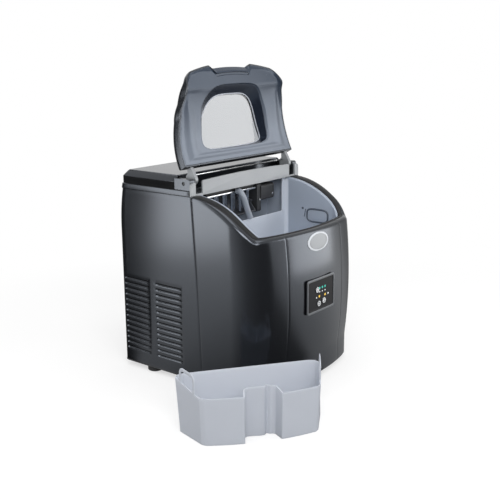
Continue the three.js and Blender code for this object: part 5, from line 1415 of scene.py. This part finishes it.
def basketWall(u, v, w):
    # the loop drafted towards the floor; the inner skin is set in along the corner's own bisector
    b, k = basket, np.round(u * len(loop)).astype(int)
    share, (x, y, rise) = 1 - np.minimum(v, 1), np.moveaxis(loop[k], -1, 0)
    rear = np.clip(1 + y / (b["depth"] * 0.6), 0, 1)
    px = x * (1 - share * b["draft"] / b["frontHalf"])
    py = y - share * b["rearDraft"] * rear + share * b["frontDraft"] * (1 - rear)
    d = np.stack([np.roll(px, -1, 0) - np.roll(px, 1, 0), np.roll(py, -1, 0) - np.roll(py, 1, 0)])
    d /= np.hypot(*d)
    px, py = px + d[1] * w * b["wall"] * inward, py - d[0] * w * b["wall"] * inward
    return px, py, v * (b["height"] + rise * smoothStep(v, 0.5, 1.0))


def handleShape(side):
    # a flat bar of rounded section along a loop in the plane of the side wall, its feet on the rim
    b, h = basket, handle
    half, top, r = h["length"] / 2 - h["bar"] / 2, h["height"] - h["bar"] / 2, h["radius"]
    a = np.radians(np.linspace(180, 90, 9))
    left = np.column_stack([-half + r + r * np.cos(a), top - r + r * np.sin(a)])
    foot = np.array([[-half, z] for z in h["foot"]])
    flat = np.column_stack([np.linspace(-half + r, half - r, 9)[1:-1], np.full(7, top)])
    path = np.concatenate([foot, left, flat, left[::-1] * (-1, 1), foot[::-1] * (-1, 1)])
    ring = circleSection(1.0, 16)
    squircle = np.sign(ring) * np.abs(ring) ** 0.5 * (b["wall"] / 2, h["bar"] / 2)
    d = unit(np.gradient(path, axis=0))
    y, z = (path[:, k, None] + across[:, None] * squircle[None, :, 1]
            for k, across in ((0, -d[:, 1]), (1, d[:, 0])))
    taper = -np.arctan2(b["rearHalf"] - b["frontHalf"], b["depth"] - b["chamfer"])
    x, y = turned(-b["wall"] / 2 + squircle[None, :, 0], y, taper)
    x, y = x + (b["rearHalf"] + b["frontHalf"] + 1) / 2, y - (b["chamfer"] + b["depth"] - 6) / 2
    points = np.stack([side * x, y, z + b["height"]], -1)
    return points.reshape(-1, 3), tubeFaces(*points.shape[:2])


loopShare = np.arange(len(loop)) / len(loop)
basketRows = stationRow((0, 0.06, 2), (0.06, 1, 17))
floorEdge = np.stack(basketWall(loopShare[:, None], np.zeros((len(loop), 1)), basket["floorShare"])[:2], -1)[:, 0]
addPiece("basket_wall", twoSkins(basketWall, loopShare, basketRows, closed=True), "basket_grey", "ice_basket",
         stands=("ice_basket",), bevel=0.45, angle=50)
floorSlab = flatSlab(floorEdge, 0.0, basket["wall"] + basket["floorStand"])
addPiece("basket_floor", floorSlab, "basket_grey", "ice_basket", bevel=0.3)
for side, label in bothSides:
    addPiece("basket_handle_" + label, handleShape(side), "basket_grey", "ice_basket", angle=50)
print("basket done")

# nodes that are shown as packed still get their finish
for row in frame["record"]["subparts"]:
    node = nodes[row["node"]]
    if not node.hide_render:
        node.data.materials.clear()
        node.data.materials.append(finishes[row["material_slot"]])
        print("shown as packed:", row["node"])
